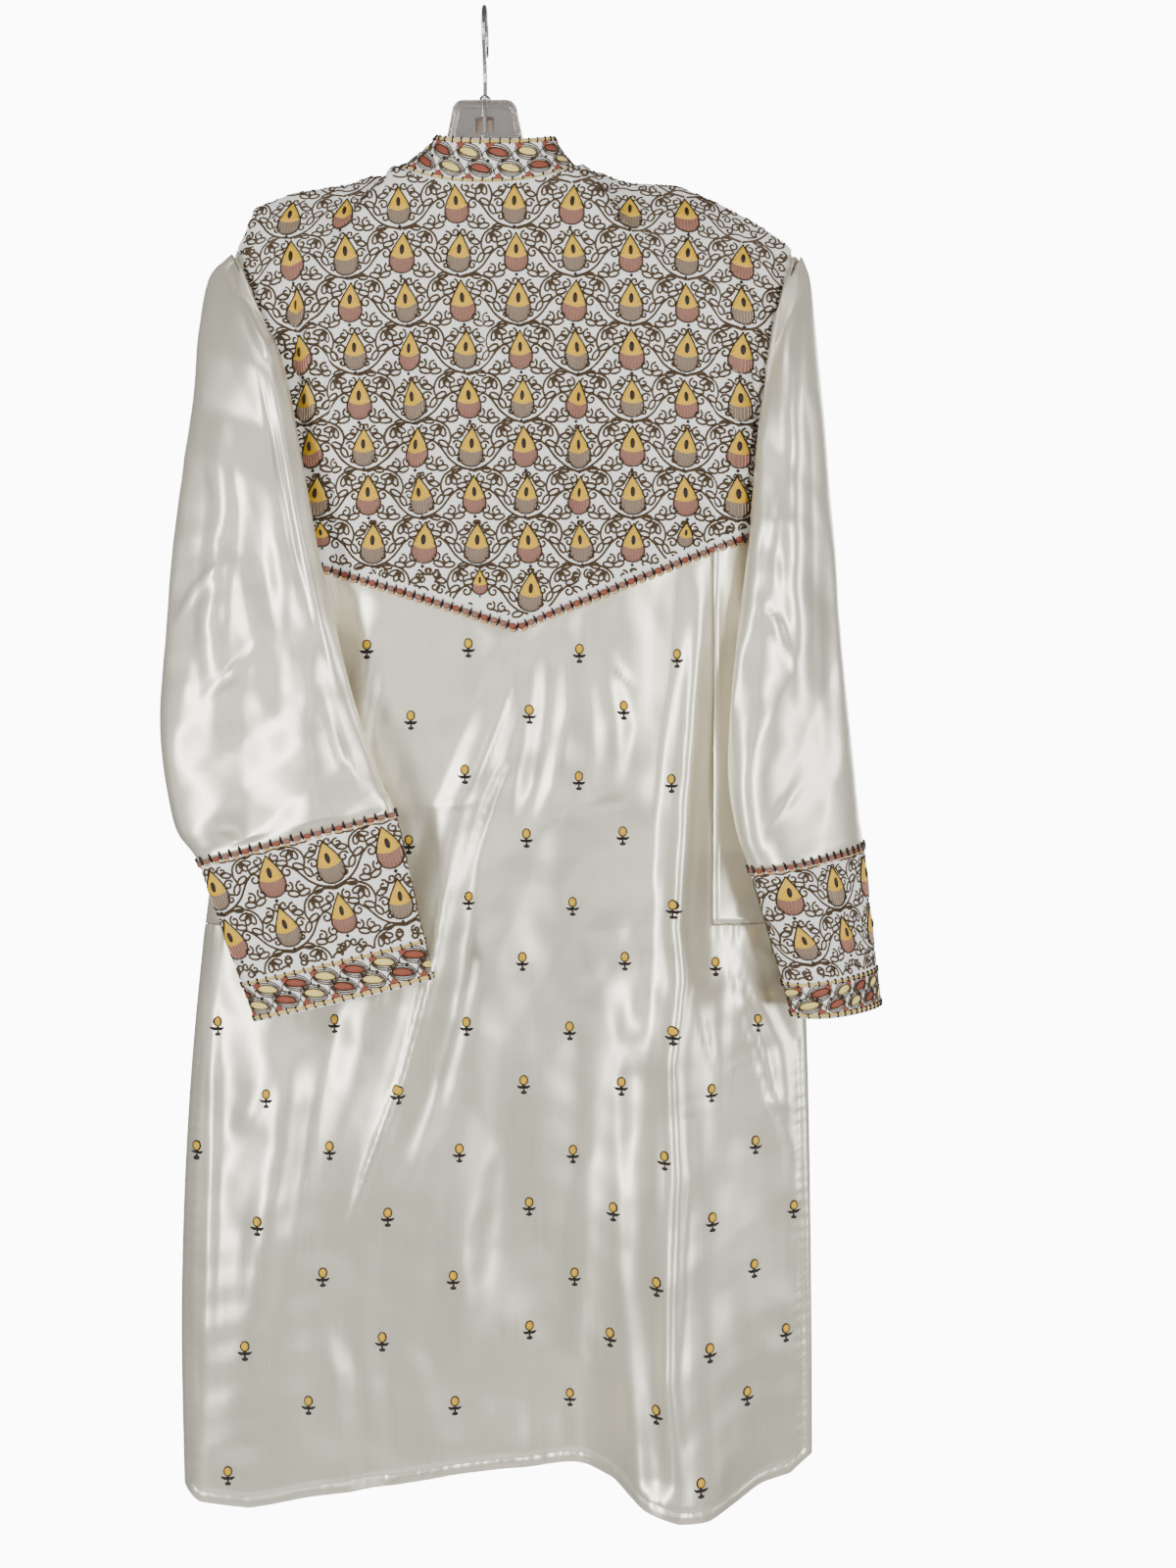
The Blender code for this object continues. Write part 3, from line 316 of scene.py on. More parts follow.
def crease_height(creases, x, down):
    """How far creases lift the cloth.

    Each crease is a bent line. A point takes the half width and the height at the
    nearest place on it, times a bump of its distance over the half width. Narrow
    creases have a pointed bump and wide ones a round one.
    """
    total = np.zeros(np.broadcast(x, down).shape)
    for crease in creases:
        nearest = np.full(total.shape, np.inf)
        half, out = np.ones(total.shape), np.zeros(total.shape)
        for k in range(len(crease["x"]) - 1):
            start_x, start_down = crease["x"][k], crease["down"][k]
            along_x, along_down = crease["x"][k + 1] - start_x, crease["down"][k + 1] - start_down
            share = (x - start_x) * along_x + (down - start_down) * along_down
            share = np.clip(share / (along_x ** 2 + along_down ** 2), 0, 1)
            distance = np.hypot(x - start_x - share * along_x, down - start_down - share * along_down)
            closer = distance < nearest
            nearest = np.where(closer, distance, nearest)
            for value, key in ((half, "half"), (out, "out")):
                here = crease[key][k] + (crease[key][k + 1] - crease[key][k]) * share
                value[:] = np.where(closer, here, value)
        reach = np.clip(nearest / half, 0, 1)
        crisp = np.clip((ROUND_HALF - half) / ROUND_RANGE, 0, 1)
        total += out * (bell(reach) * (1 - crisp) + (1 - reach) ** 2 * crisp)
    return total * sizes().crease


def ripple(x, down):
    """Soft waves that all the silk has: sines which run down it at small angles and across it."""
    waves = np.sin(x * 92 + 3 * np.sin(down * 9)) + 0.8 * np.sin(x * 61 - down * 17 + 1)
    waves = waves + 0.5 * np.sin(x * 23 + down * 43 + 2) + 0.16 * np.sin(x * 210 + 5 * np.sin(down * 21))
    return RIPPLE_HEIGHT * (waves + 0.14 * np.sin(down * 190 + 4 * np.sin(x * 37)))


# Waves of the crisp creases: per metre across and down, bend, phase and height.
FACET_WAVES = (
    (58.0, 20.0, 1.6, 0.4, 0.00074),
    (-34.0, 47.0, 1.9, 1.7, 0.00068),
    (40.0, 66.0, 1.4, 3.1, 0.00050),
    (96.0, -18.0, 2.2, 4.6, 0.00036),
    (22.0, 190.0, 2.6, 5.5, 0.00016),
    (-88.0, 120.0, 2.4, 2.6, 0.00018),
)


def facets(x, down):
    """Crisp shallow creases that all the silk has, as bent triangle waves.

    A triangle wave is the arcsine of a sine. Each one fades in and out over the cloth
    by a slower sine.
    """
    height = np.zeros(np.broadcast(x, down).shape)
    for across, along, bend, phase, strength in FACET_WAVES:
        wave = across * x + along * down + bend * np.sin(15 * down + 8 * x + phase)
        patch = ease(0.45 + 0.9 * np.sin(11 * x - 8 * down + 2.3 * phase + np.sin(6 * down)))
        height = height + strength * patch * np.arcsin(0.99 * np.sin(wave))
    return height


def body_edges(down):
    """The body's left and right edge at a height: left x, left y, right x, right y."""
    return [smooth(BODY["down"], BODY[key], down) for key in ("left_x", "left_y", "right_x", "right_y")]


def neck_inset(x, wider=1.0):
    """0 outside the neck hole, or one so many times wider, and 1 on its centre line."""
    return np.clip(1 - np.abs((x - NECK_X) / (NECK_HALF * wider)) ** NECK_SQUARENESS, 0, 1)


def top_down(side, x):
    """How far down the cloth starts: on the crown line, or on the neckline inside the neck."""
    crown = np.interp(x, SHOULDER["x"], SHOULDER["down"])
    inset = neck_inset(x)
    return np.where(inset > 0, NECK_DOWN + NECK_DROP[side] * inset, crown)


def surface(side, x, down, slit=True):
    """The y of the back (side -1) or the front (side 1) at x and down.

    It stands out from the line between the side edges as a flattened oval does, rounds
    over the hanger's arms at the top, starts at the neckline at the neck, and takes the
    hem's waves and the long folds lower down.
    """
    left_x, left_y, right_x, right_y = body_edges(down)
    q = np.clip((x - left_x) / (right_x - left_x), 0, 1)
    oval = (1 - np.abs(2 * q - 1) ** SIDE_ROUNDNESS) ** (1 / SIDE_ROUNDNESS)
    line = left_y + (right_y - left_y) * q
    depth = smooth(BODY["down"], BODY["back" if side < 0 else "front"], down) * oval
    blend = np.clip((down - HEM_BLEND_TOP) / (HEM_BLEND_END - HEM_BLEND_TOP), 0, 1) ** HEM_BLEND_POWER
    hem_depth = side * (smooth(HEMS[side]["x"], HEMS[side]["y"], x) - line)
    at_edge = ease(oval / 0.45)
    depth = depth + (hem_depth - depth) * blend * at_edge
    for long_fold in LONG_FOLDS[side]:
        place, half, out = (smooth(long_fold["down"], long_fold[key], down) for key in ("x", "half", "out"))
        depth = depth + out * bell((x - place) / half) * at_edge
    below = np.maximum(down - top_down(side, x), 0)
    inset = neck_inset(x, 1 + below / NECK_SPREAD)
    soft = ease(below / 0.030)
    neck = NECK_DEPTH[side] * inset ** (1 / NECK_SQUARENESS) * (1 - soft + soft * ease(inset / 0.35))
    bend = np.sqrt(1 - (1 - np.minimum(below / BEND_DROP, 1)) ** 2)
    spread = 1 - (1 - np.minimum(below / SPREAD_DROP, 1)) ** 2
    fall = BEND_SHARE * bend + (1 - BEND_SHARE) * spread
    gap = 0.0
    if slit:
        gap = SEAM_GAP / 2 + SLIT_SPREAD * ease((down - SLIT_DOWN) / (HEM_BLEND_END - SLIT_DOWN))
    return line + side * (gap + neck * (1 - fall) + depth * fall)


def seam_down(x):
    """How far down the yokes' pointed lower seam lies."""
    return np.interp(x, YOKE_SEAM["x"], YOKE_SEAM["down"])


def hem_down(side, x):
    """How far down the hem lies."""
    return np.interp(x, HEMS[side]["x"], HEMS[side]["down"])


def edge_x(down, share):
    """The x at a share of the body's width, from its left edge."""
    left_x, _, right_x, _ = body_edges(down)
    return left_x + (right_x - left_x) * share


def edge_fade(x, down):
    """0 on the body's side edges and 1 from a short way inside them."""
    left_x, _, right_x, _ = body_edges(down)
    return ease(np.minimum(x - left_x, right_x - x) / 0.02)


def hem_relief(side, x, down):
    """The stitched band along the hem and slits, and the gathers of the side seams.

    The band's inner edge is a narrow groove where it is stitched. Between the groove
    and the hem the cloth puckers in short sines across the band.
    """
    left_x, _, right_x, _ = body_edges(down)
    from_side = np.minimum(x - left_x, right_x - x) + 1.0 * (down < SLIT_DOWN)
    from_hem = hem_down(side, x) - down
    nearest = np.minimum(from_side, from_hem)
    along = np.where(from_side < from_hem, down, x)
    groove = -0.0009 * bell((nearest - HEM_WIDTH) / 0.0024)
    wave = np.sin(2 * np.pi * along / HEM_PUCKER_PITCH + 2 * np.sin(along * 70))
    pucker = HEM_PUCKER * wave * bell((nearest - HEM_WIDTH) / HEM_WIDTH)
    outside_seams = ease((SIDE_SEAM_LEFT - x) / 0.004) + ease((x - SIDE_SEAM_RIGHT) / 0.004)
    below_gather = np.maximum(down - GATHER_DOWN, 0) / GATHER_REACH
    gather = GATHER_HEIGHT * np.sin(2 * np.pi * x / GATHER_PITCH + 1.5 * np.sin(x * 150))
    return groove + pucker + gather * (1 - ease(below_gather)) * outside_seams


def yoke_place(side):
    """The yoke's surface as a function of x and down: the body with the yoke's flutes."""
    def place(x, down):
        lift = crease_height(YOKE_CREASES[side], x, down)
        return joined(x, surface(side, x, down) + side * lift, -down)
    return place


def panel_place(side):
    """The silk below the yoke as a function of x and down, with its creases and hem."""
    creases = BACK_CREASES if side < 0 else FRONT_CREASES

    def place(x, down):
        below_yoke = ease((down - seam_down(x)) / 0.012)
        lift = (crease_height(creases, x, down) + ripple(x, down) + facets(x, down)) * edge_fade(x, down)
        lift = lift * below_yoke + hem_relief(side, x, down)
        return joined(x, surface(side, x, down) + side * lift, -down)
    return place


def arm_point(arm, t, s):
    """Points of an arm at t round the loop and s along its sections."""
    index = np.arange(len(arm["in_x"]), dtype=float)
    value = {key: smooth(index, column, s) for key, column in arm.items()}
    fold_in = joined(value["in_x"], value["in_y"], -value["in_down"])
    fold_out = joined(value["out_x"], value["out_y"], -value["out_down"])
    chord, middle = (fold_out - fold_in) / 2, (fold_out + fold_in) / 2
    out = unit(np.cross(chord, np.sign(chord[..., :1]) * np.array([0.0, 0.0, 1.0])))
    out = np.where(out[..., 1:2] > 0, -out, out)
    angle = SEAM_ANGLE - 2 * np.pi * t
    across = signed_power(np.cos(angle), 2 / LOOP_SQUARENESS)
    rise = signed_power(np.sin(angle), 2 / LOOP_SQUARENESS)
    rise = rise * np.where(rise > 0, value["near"], value["far"])
    return middle + chord * across[..., None] + out * rise[..., None]


def side_slope(side, x, down):
    """How steeply the back's or front's y changes across, at x."""
    step = 0.0005
    ahead = surface(side, x + step, down, slit=False)
    return (ahead - surface(side, x - step, down, slit=False)) / (2 * step)


def armhole_point(side, down, right, underarm):
    """A point outside the armhole's edge, one lap away from it.

    At the underarm it moves round to the body's side edge.
    """
    above = ease((underarm - down) / UNDERARM_TURN)
    share = ARMHOLE_SHARE * above
    x = edge_x(down, 1 - share if right else share)
    lean = unit(joined(-side * side_slope(side, x, down), side, 0.0))
    lap = SLEEVE_LAP + UNDERARM_ROOM * (1 - above)
    return joined(x, surface(side, x, down, slit=False), -down) + lean * lap[..., None]


def clear_of_body(points, side, where, slack):
    """The points, with those marked by `where` moved off the body's back or front.

    They stay outside the body's section made wider and deeper by the lap and `slack`.
    """
    x, y, down = points[..., 0], points[..., 1], -points[..., 2]
    left_x, left_y, right_x, right_y = body_edges(down)
    middle, half = (left_x + right_x) / 2, (right_x - left_x) / 2
    reach = SLEEVE_LAP + slack
    inner_x = middle + (x - middle) * half / (half + reach)
    within = where & (inner_x > left_x) & (inner_x < right_x)
    line = left_y + (right_y - left_y) * (inner_x - left_x) / (2 * half)
    out = np.abs(surface(side, inner_x, down, slit=False) - line)
    limit = line + side * (out + 1.2 * reach * ease(out / CORNER_DEPTH))
    pushed = np.minimum(y, limit) if side < 0 else np.maximum(y, limit)
    return joined(x, np.where(within, pushed, y), -down)


def sleeve_points(key, t, s):
    """A sleeve's points: the arm's loops, with their ends drawn to the armhole's edges."""
    arm, right = ARMS[key], key == "right"
    points = arm_point(arm, t, s)
    index = np.arange(len(arm["in_x"]), dtype=float)
    underarm = arm["seam"][-1]
    down = np.minimum(smooth(index, arm["seam"], s), underarm)
    fade = 1 - ease((s - UNDERARM_SECTION[key]) / 1.5)
    back_pull = armhole_point(-1, down, right, underarm) - arm_point(arm, 0 * t, s)
    front_pull = armhole_point(1, down, right, underarm) - arm_point(arm, 0 * t + 1, s)
    back_share = (1 - ease(t / 0.20)) * fade
    front_share = ease((t - 0.70) / 0.30) * fade
    points = points + back_pull * back_share[..., None] + front_pull * front_share[..., None]
    closed = s > UNDERARM_SECTION[key]
    slack = np.where(closed, SLEEVE_SLACK, SLEEVE_SLACK * ease(t / 0.03))
    points = clear_of_body(points, -1, closed | (t < 0.45), slack)
    return clear_of_body(points, 1, ~closed & (t > 0.70), SLEEVE_SLACK * ease((1 - t) / 0.03))


def creased_sleeve(key, t, s):
    """A sleeve's points with its creases and faint waves, which fade at its two folds and ends."""
    points = sleeve_points(key, t, s)
    x, down = points[..., 0], -points[..., 2]
    rise = np.sin(SEAM_ANGLE - 2 * np.pi * t)
    at_seams = ease((CUFF_SECTION - s) / 0.25) * ease(s / 0.5)
    for side in (-1, 1):
        facing = ease((0.2 - side * rise) / 0.7) * at_seams
        lift = crease_height(SLEEVE_CREASES[key][side], x, down)
        lift += ripple(x + 0.3, down) + 1.8 * facets(1.3 * x + 0.2, down)
        points[..., 1] += side * lift * facing
    return points


def collar_points(angle, height):
    """The collar's points, for an angle round the neck and a height share.

    Angle 0 is the centre front, and half a turn is the centre back. The band stands
    upright at the back and leans in at its sides.
    """
    sine, cosine = np.sin(angle), np.cos(angle)
    across, forward = signed_power(sine, 2 / NECK_SQUARENESS), signed_power(cosine, 2 / NECK_SQUARENESS)
    back = cosine < 0
    depth = np.where(back, NECK_DEPTH[-1], NECK_DEPTH[1])
    inset = 1 - np.abs(across) ** NECK_SQUARENESS
    drop = NECK_DOWN + np.where(back, NECK_DROP[-1], NECK_DROP[1]) * inset
    lean_side = COLLAR_SIDE_LEAN * np.abs(sine) ** 1.5
    lean_front = np.where(back, 0.0, COLLAR_FRONT_LEAN * np.abs(cosine))
    rise = np.sqrt(COLLAR_HEIGHT ** 2 - lean_side ** 2 - lean_front ** 2)
    half = NECK_HALF - COLLAR_INSET
    x = NECK_X + COLLAR_SHIFT * height + (half - lean_side * height) * across
    y = (depth - COLLAR_INSET - (lean_front + lean_side * 0.4) * height) * forward
    return joined(x, y, rise * height - drop)


def centre_x(down):
    """The centre front, which runs from the neck's middle to the yokes' tip."""
    top = NECK_DOWN + NECK_DROP[1]
    return NECK_X + (YOKE_TIP_X - NECK_X) * (down - top) / (seam_down(YOKE_TIP_X) - top)


def placket_place(across, down):
    """The front's surface, stated from the centre front."""
    return yoke_place(1)(centre_x(down) + across, down)


def even_shares(points):
    """The length along a line of points, from its start, at each of them."""
    steps = np.linalg.norm(np.diff(points, axis=0), axis=-1)
    return np.concatenate([[0.0], np.cumsum(steps)])


def loop_length(key, section):
    """A table of t and the length round an arm's loop at one section."""
    t = np.linspace(0, 1, 721)
    return t, even_shares(arm_point(ARMS[key], t, np.full_like(t, section)))


def loop_shares(key, columns, section):
    """Shares round an arm's loop, even along its length at one section."""
    t, length = loop_length(key, section)
    return np.interp(np.linspace(0, length[-1], columns + 1), length, t)


def cuff_place(key):
    """The cuff's surface as a function of metres round it and metres down from its seam."""
    t_table, length = loop_length(key, CUFF_SECTION + 1)
    girth = length[-1]

    def place(u, v):
        t = np.interp(np.mod(u, girth), length, t_table)
        return arm_point(ARMS[key], t, CUFF_SECTION + 2 * v / CUFF_DEPTH)
    return place, girth


def collar_turns():
    """A table of the angle and the length round the collar at half its height."""
    start = (COLLAR_OPENING / 2 / NECK_HALF) ** (NECK_SQUARENESS / 2)
    angle = np.linspace(start, 2 * np.pi - start, 721)
    return angle, even_shares(collar_points(angle, np.full_like(angle, 0.5)))


def collar_place():
    """The collar's surface as a function of metres round it and metres down from its top."""
    angle_table, length = collar_turns()

    def place(u, v):
        return collar_points(np.interp(u, length, angle_table), 1 - v / COLLAR_HEIGHT)
    return place, length[-1]


def grid_normals(points, closed=False):
    """Unit normals of a grid of points, from the differences along its rows and columns."""
    if closed:
        wide = np.concatenate([points[:, -2:-1], points, points[:, 1:2]], axis=1)
        across = (wide[:, 2:] - wide[:, :-2]) / 2
    else:
        across = np.gradient(points, axis=1)
    return unit(np.cross(across, np.gradient(points, axis=0)))


def on_cloth(place, outward, u, v, lift):
    """Points `lift` above a surface, along its normal from small steps in u and v."""
    step = 0.0006
    across = place(u + step, v) - place(u - step, v)
    along = place(u, v + step) - place(u, v - step)
    return place(u, v) + outward * unit(np.cross(across, along)) * np.asarray(lift)[..., None]


def new_mesh(name, points, faces):
    """A mesh of points and faces."""
    mesh = bpy.data.meshes.new(name)
    mesh.from_pydata(np.reshape(points, (-1, 3)).tolist(), [], faces)
    return mesh


def set_map(mesh, name, places):
    """Gives a mesh a UV map: one place for each corner of its faces."""
    layer = mesh.uv_layers.new(name=name)
    layer.uv.foreach_set("vector", places.astype(np.float32).reshape(-1))


def grid_faces(rows, columns):
    """Faces of a grid of points, row by row."""
    first = np.arange((rows - 1) * columns).reshape(rows - 1, columns)[:, :-1].reshape(-1)
    return joined(first, first + 1, first + columns + 1, first + columns)


def ring_faces(rows, sides):
    """Faces of a stack of closed rings."""
    ids = np.arange(rows * sides).reshape(rows, sides)
    after = np.roll(ids, -1, axis=1)
    return joined(ids[:-1], after[:-1], after[1:], ids[1:]).reshape(-1, 4).tolist()


def settle_normals(mesh, merge=True):
    """Turns a closed mesh's faces outwards, after its doubles are merged."""
    shape = bmesh.new()
    shape.from_mesh(mesh)
    if merge:
        bmesh.ops.remove_doubles(shape, verts=shape.verts, dist=1e-6)
    bmesh.ops.recalc_face_normals(shape, faces=shape.faces)
    shape.to_mesh(mesh)
    shape.free()


def link(mesh, finish):
    """Puts a mesh into the scene as an object at the origin with one finish."""
    mesh.materials.append(finish)
    made = bpy.data.objects.new(mesh.name, mesh)
    bpy.context.scene.collection.objects.link(made)
    mesh.shade_smooth()
    return made


def add_piece(mesh, finish, sharp=None, wall=None):
    """Links a mesh as a piece of the kurta.

    Edges sharper than `sharp` degrees stay sharp, and a wall is made inwards.
    """
    piece = link(mesh, finish_of(finish))
    if sharp is not None:
        mesh.set_sharp_from_angle(angle=np.radians(sharp))
    if wall is not None:
        modifier = piece.modifiers.new("Wall", "SOLIDIFY")
        modifier.thickness = wall
        modifier.offset = -1.0
    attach(piece, BODY_NAME)
    return piece


def cloth_piece(
    name, node, points, outward, slot, cells=None, ids=None, closed=False, lift=0.0
):
    """A cloth piece whose outer face lies one cloth thickness outside a grid of points.

    Points with one number in `ids` are one point, and `cells` marks the cells that are
    cloth. The weave's coordinates are metres along the grid's middle row and middle
    column.
    """
    rows, columns = points.shape[:2]
    face = points + grid_normals(points, closed) * outward * (lift + CLOTH)
    ids = np.arange(rows * columns) if ids is None else ids.reshape(-1)
    across = even_shares(points[rows // 2])
    along = even_shares(points[:, columns // 2])
    weave = np.stack(np.meshgrid(across, along), axis=-1).reshape(-1, 2)
    corners = grid_faces(rows, columns)
    if cells is not None:
        corners = corners[cells.reshape(-1)]
    if outward < 0:
        corners = corners[:, ::-1]
    used, quads = np.unique(ids[corners], return_inverse=True)
    mesh = new_mesh(name, face.reshape(-1, 3)[used], quads.reshape(-1, 4).tolist())
    set_map(mesh, "Weave", weave[corners])
    finish = "ivory_silk" if slot == "silk" else "embroidered_ground"
    piece = add_piece(mesh, finish, wall=SHELL)
    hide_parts(node)


# An outline of more points than this is a large shape.
LARGE_OUTLINE = 20


class Stitching:
    """Raised threads and filled shapes, drawn flat in millimetres and then set on cloth.

    A shape is given in a motif's own millimetres, x to the right and y up. `spot` moves
    it into the cloth's coordinates. Only what lies inside `inside` is kept.
    """

    def __init__(self, inside=None):
        self.inside = inside
        self.spot = lambda flat: flat
        self.flat, self.lift, self.faces, self.grain, self.colour = [], [], [], [], []
        self.count = 0

    def put(self, flat, lift, faces, grain, colour):
        """Adds points with their heights, faces, thread coordinates and colours."""
        self.flat.append(self.spot(flat))
        self.lift.append(lift)
        self.faces.extend([[corner + self.count for corner in face] for face in faces])
        self.grain.append(grain)
        self.colour.append(colour)
        self.count += len(flat)

    def line(self, path, width, edge, middle=None, height=0.5, taper=False):
        """A thread along a path: three points across, low at both edges and raised between."""
        path = np.asarray(path, float)
        keep = np.ones(len(path), bool) if self.inside is None else self.inside(self.spot(path))
        for run in np.split(np.arange(len(path)), np.nonzero(np.diff(keep.astype(int)))[0] + 1):
            if keep[run[0]] and len(run) > 2:
                self.thread(path[run], width, edge, edge if middle is None else middle, height, taper)

    def thread(self, path, width, edge, middle, height, taper):
        """One whole thread, closed below and at its ends."""
        along = np.gradient(path, axis=0)
        across = unit(joined(-along[:, 1], along[:, 0]))
        count = len(path)
        half = np.full(count, width / 2)
        if taper:
            half = half * np.sqrt(np.clip(1 - np.linspace(-1, 1, count) ** 4, 0.02, 1))
        flat = np.stack([path + across * half[:, None], path, path - across * half[:, None]], axis=1)
        lift = np.tile((-0.06, height, -0.06), count)
        grain = joined(np.tile((0.0, 0.5, 1.0), count), np.repeat(even_shares(path), 3))
        colour = np.tile(np.array([edge, middle, edge]), (count, 1))
        last = 3 * (count - 1)
        faces = ring_faces(count, 3) + [(0, 2, 1), (last, last + 1, last + 2)]
        self.put(flat.reshape(-1, 2), lift, faces, grain, colour)

    def patch(self, outline, colour, height=0.6, centre=None, rim=None):
        """A filled shape: rings of its outline drawn in to a centre, higher towards it.

        The underside of a large one is ringed too, so that it follows the cloth's folds.
        """
        outline = np.asarray(outline, float)
        if self.inside is not None and not self.inside(self.spot(outline)).all():
            return
        centre = outline.mean(axis=0) if centre is None else np.asarray(centre, float)
        count = len(outline)
        large = count > LARGE_OUTLINE
        shares = (1.0, 0.82, 0.55, 0.28) if large else (1.0, 0.82, 0.45)
        lifts = (-0.2, 0.75 * height) + (height,) * (len(shares) - 2)
        flat = np.concatenate([centre + (outline - centre) * share for share in shares] + [centre[None]])
        lift = np.append(np.repeat(lifts, count), height)
        here, last = np.arange(count), (len(shares) - 1) * count
        after = np.roll(here, -1)
        faces = ring_faces(len(shares), count) + joined(last + here, last + after, last + count).tolist()
        if large:
            under = last + count + 1
            flat = np.concatenate([flat, centre + (outline - centre) * 0.5, centre[None]])
            lift = np.append(lift, np.full(count + 1, -0.3))
            faces += joined(under + here, under + after, after, here).tolist()
            faces += joined(under + after, under + here, under + count).tolist()
        else:
            faces.append(here[::-1].tolist())
        colours = np.tile(np.array(colour, float), (len(flat), 1))
        colours[:count] = colour if rim is None else rim
        self.put(flat, lift, faces, flat / 0.7, colours)

    def set_on(self, name, place, outward):
        """Lays everything on a surface as one piece."""
        flat, lift = np.concatenate(self.flat), np.concatenate(self.lift) * 0.001
        mesh = new_mesh(name, on_cloth(place, outward, flat[:, 0], flat[:, 1], lift + CLOTH), self.faces)
        colours = np.concatenate([np.concatenate(self.colour), np.ones((self.count, 1))], axis=1)
        own = mesh.color_attributes.new("Thread", "FLOAT_COLOR", "POINT")
        own.data.foreach_set("color", colours.reshape(-1))
        corners = np.empty(len(mesh.loops), np.int32)
        mesh.loops.foreach_get("vertex_index", corners)
        set_map(mesh, "Grain", np.concatenate(self.grain)[corners])
        settle_normals(mesh, merge=False)
        add_piece(mesh, "thread", sharp=70)


def curve(*points, count=24):
    """A smooth line through points, evenly shared among them."""
    points = np.array(points, float)
    at = np.arange(len(points), dtype=float)
    f = np.linspace(0, len(points) - 1, count)
    return joined(smooth(at, points[:, 0], f), smooth(at, points[:, 1], f))


def curl(x, y, radius, start, hand):
    """A spiral from its outer end: the radius shrinks to a quarter as the angle turns."""
    f = np.linspace(0, 1, 12)
    angle = np.radians(start) + hand * 2 * np.pi * CURL_TURNS * f
    r = radius * (1 - 0.72 * f)
    return joined(x + r * np.cos(angle), y + r * np.sin(angle))


def loop(x, y, angle, length=8.2, width=4.2):
    """A loop of thread: an oval that leaves its base along an angle and comes back to it."""
    f = np.linspace(0, 2 * np.pi, 10)
    along, across = length * (1 - np.cos(f)) / 2, width / 2 * np.sin(f)
    turn = np.radians(angle)
    return joined(
        x + (along * np.cos(turn) - across * np.sin(turn)),
        y + (along * np.sin(turn) + across * np.cos(turn)),
    )


def drop_outline(width, height):
    """A teardrop: x goes as a sine times a power of the half-angle's sine, y as a cosine."""
    angle = np.linspace(0, 2 * np.pi, 22, endpoint=False)
    x = np.sin(angle) * np.sin(angle / 2) ** 1.4
    return joined(x / np.abs(x).max() * width / 2, np.cos(angle) * height / 2)


def dot_outline(radius, count=8):
    """A round dot's outline."""
    angle = np.linspace(0, 2 * np.pi, count, endpoint=False)
    return radius * joined(np.cos(angle), np.sin(angle))


def closed_path(outline):
    """An outline as a path that returns to its first point."""
    return np.concatenate([outline, outline[:1]])


def colour_setting(name, description, default):
    """A colour that a user can change."""
    return FloatVectorProperty(
        name=name, description=description, default=default, subtype="COLOR", size=3, min=0, max=1)


def size_setting(name, description, default, low, high, unit="NONE"):
    """A size that a user can change."""
    return FloatProperty(name=name, description=description, default=default, min=low, max=high, unit=unit)


class KurtaColours(bpy.types.PropertyGroup):
    """Colours of the kurta's cloth, threads and fittings."""

    silk: colour_setting("Silk", "Colour of the plain silk", (0.85, 0.80, 0.64))
    ground: colour_setting(
        "Embroidered ground", "Colour of the silk under the embroidery", (0.86, 0.85, 0.80))
    gold: colour_setting("Gold thread", "Colour of the drops' upper part", (0.72, 0.42, 0.025))
    cream: colour_setting("Cream thread", "Colour of the pale leaves", (0.84, 0.66, 0.20))
    mauve: colour_setting(
        "Mauve thread", "Colour of one half of the drops' lower parts", (0.25, 0.12, 0.085))
    taupe: colour_setting(
        "Taupe thread", "Colour of the other half of the drops' lower parts", (0.21, 0.155, 0.11))
    brown: colour_setting(
        "Brown thread", "Colour of the scrolls' edges and outlines", (0.034, 0.021, 0.010))
    russet: colour_setting("Russet thread", "Colour of the dark leaves and triangles", (0.25, 0.065, 0.035))
    black: colour_setting("Black thread", "Colour of the cross stitches and dots", (0.018, 0.012, 0.012))
    braid: colour_setting("Tan braid", "Colour of the braid along the edges", (0.60, 0.38, 0.16))
    pearl: colour_setting("Button pearl", "Colour of the buttons", (0.75, 0.70, 0.58))
    plastic: colour_setting("Hanger plastic", "Colour of the clear smoky plastic", (0.74, 0.69, 0.66))


class KurtaSizes(bpy.types.PropertyGroup):
    """Sizes of the embroidery and the trims."""

    thread: size_setting("Scroll thread", "Width of the scrolls' thread in millimetres", 1.9, 0.3, 3.0)
    drop_width: size_setting("Drop width", "Width of a teardrop in millimetres", 19.5, 8, 40)
    drop_height: size_setting("Drop height", "Height of a teardrop in millimetres", 31.5, 10, 60)
    column_pitch: size_setting(
        "Column pitch", "Distance between the yoke's columns of drops", 0.0436, 0.02, 0.1, "LENGTH")
    row_pitch: size_setting(
        "Row pitch", "Distance between the yoke's rows of drops", 0.0364, 0.02, 0.1, "LENGTH")
    knot_pitch: size_setting(
        "Knot pitch", "Distance between the seam trim's knots", 0.0073, 0.004, 0.02, "LENGTH")
    leaf_pitch: size_setting(
        "Leaf pitch", "Distance between the leaves in one row of a border", 0.0222, 0.01, 0.05, "LENGTH")
    sprig_across: size_setting(
        "Sprig spacing across", "Distance between sprigs in a row", 0.0790, 0.03, 0.2, "LENGTH")
    sprig_rows: size_setting(
        "Sprig spacing down", "Distance between rows of sprigs", 0.0475, 0.02, 0.2, "LENGTH")
    crease: size_setting(
        "Crease height", "How far creases stand out, as a multiple of their noted heights", 1.7, 0.0, 3.0)
    sides: IntProperty(name="Button sides", description="Steps round a button", default=40, min=12, max=96)


def colours():
    """The colours that a user can change."""
    return bpy.context.scene.kurta_colours


def sizes():
    """The sizes that a user can change."""
    return bpy.context.scene.kurta_sizes


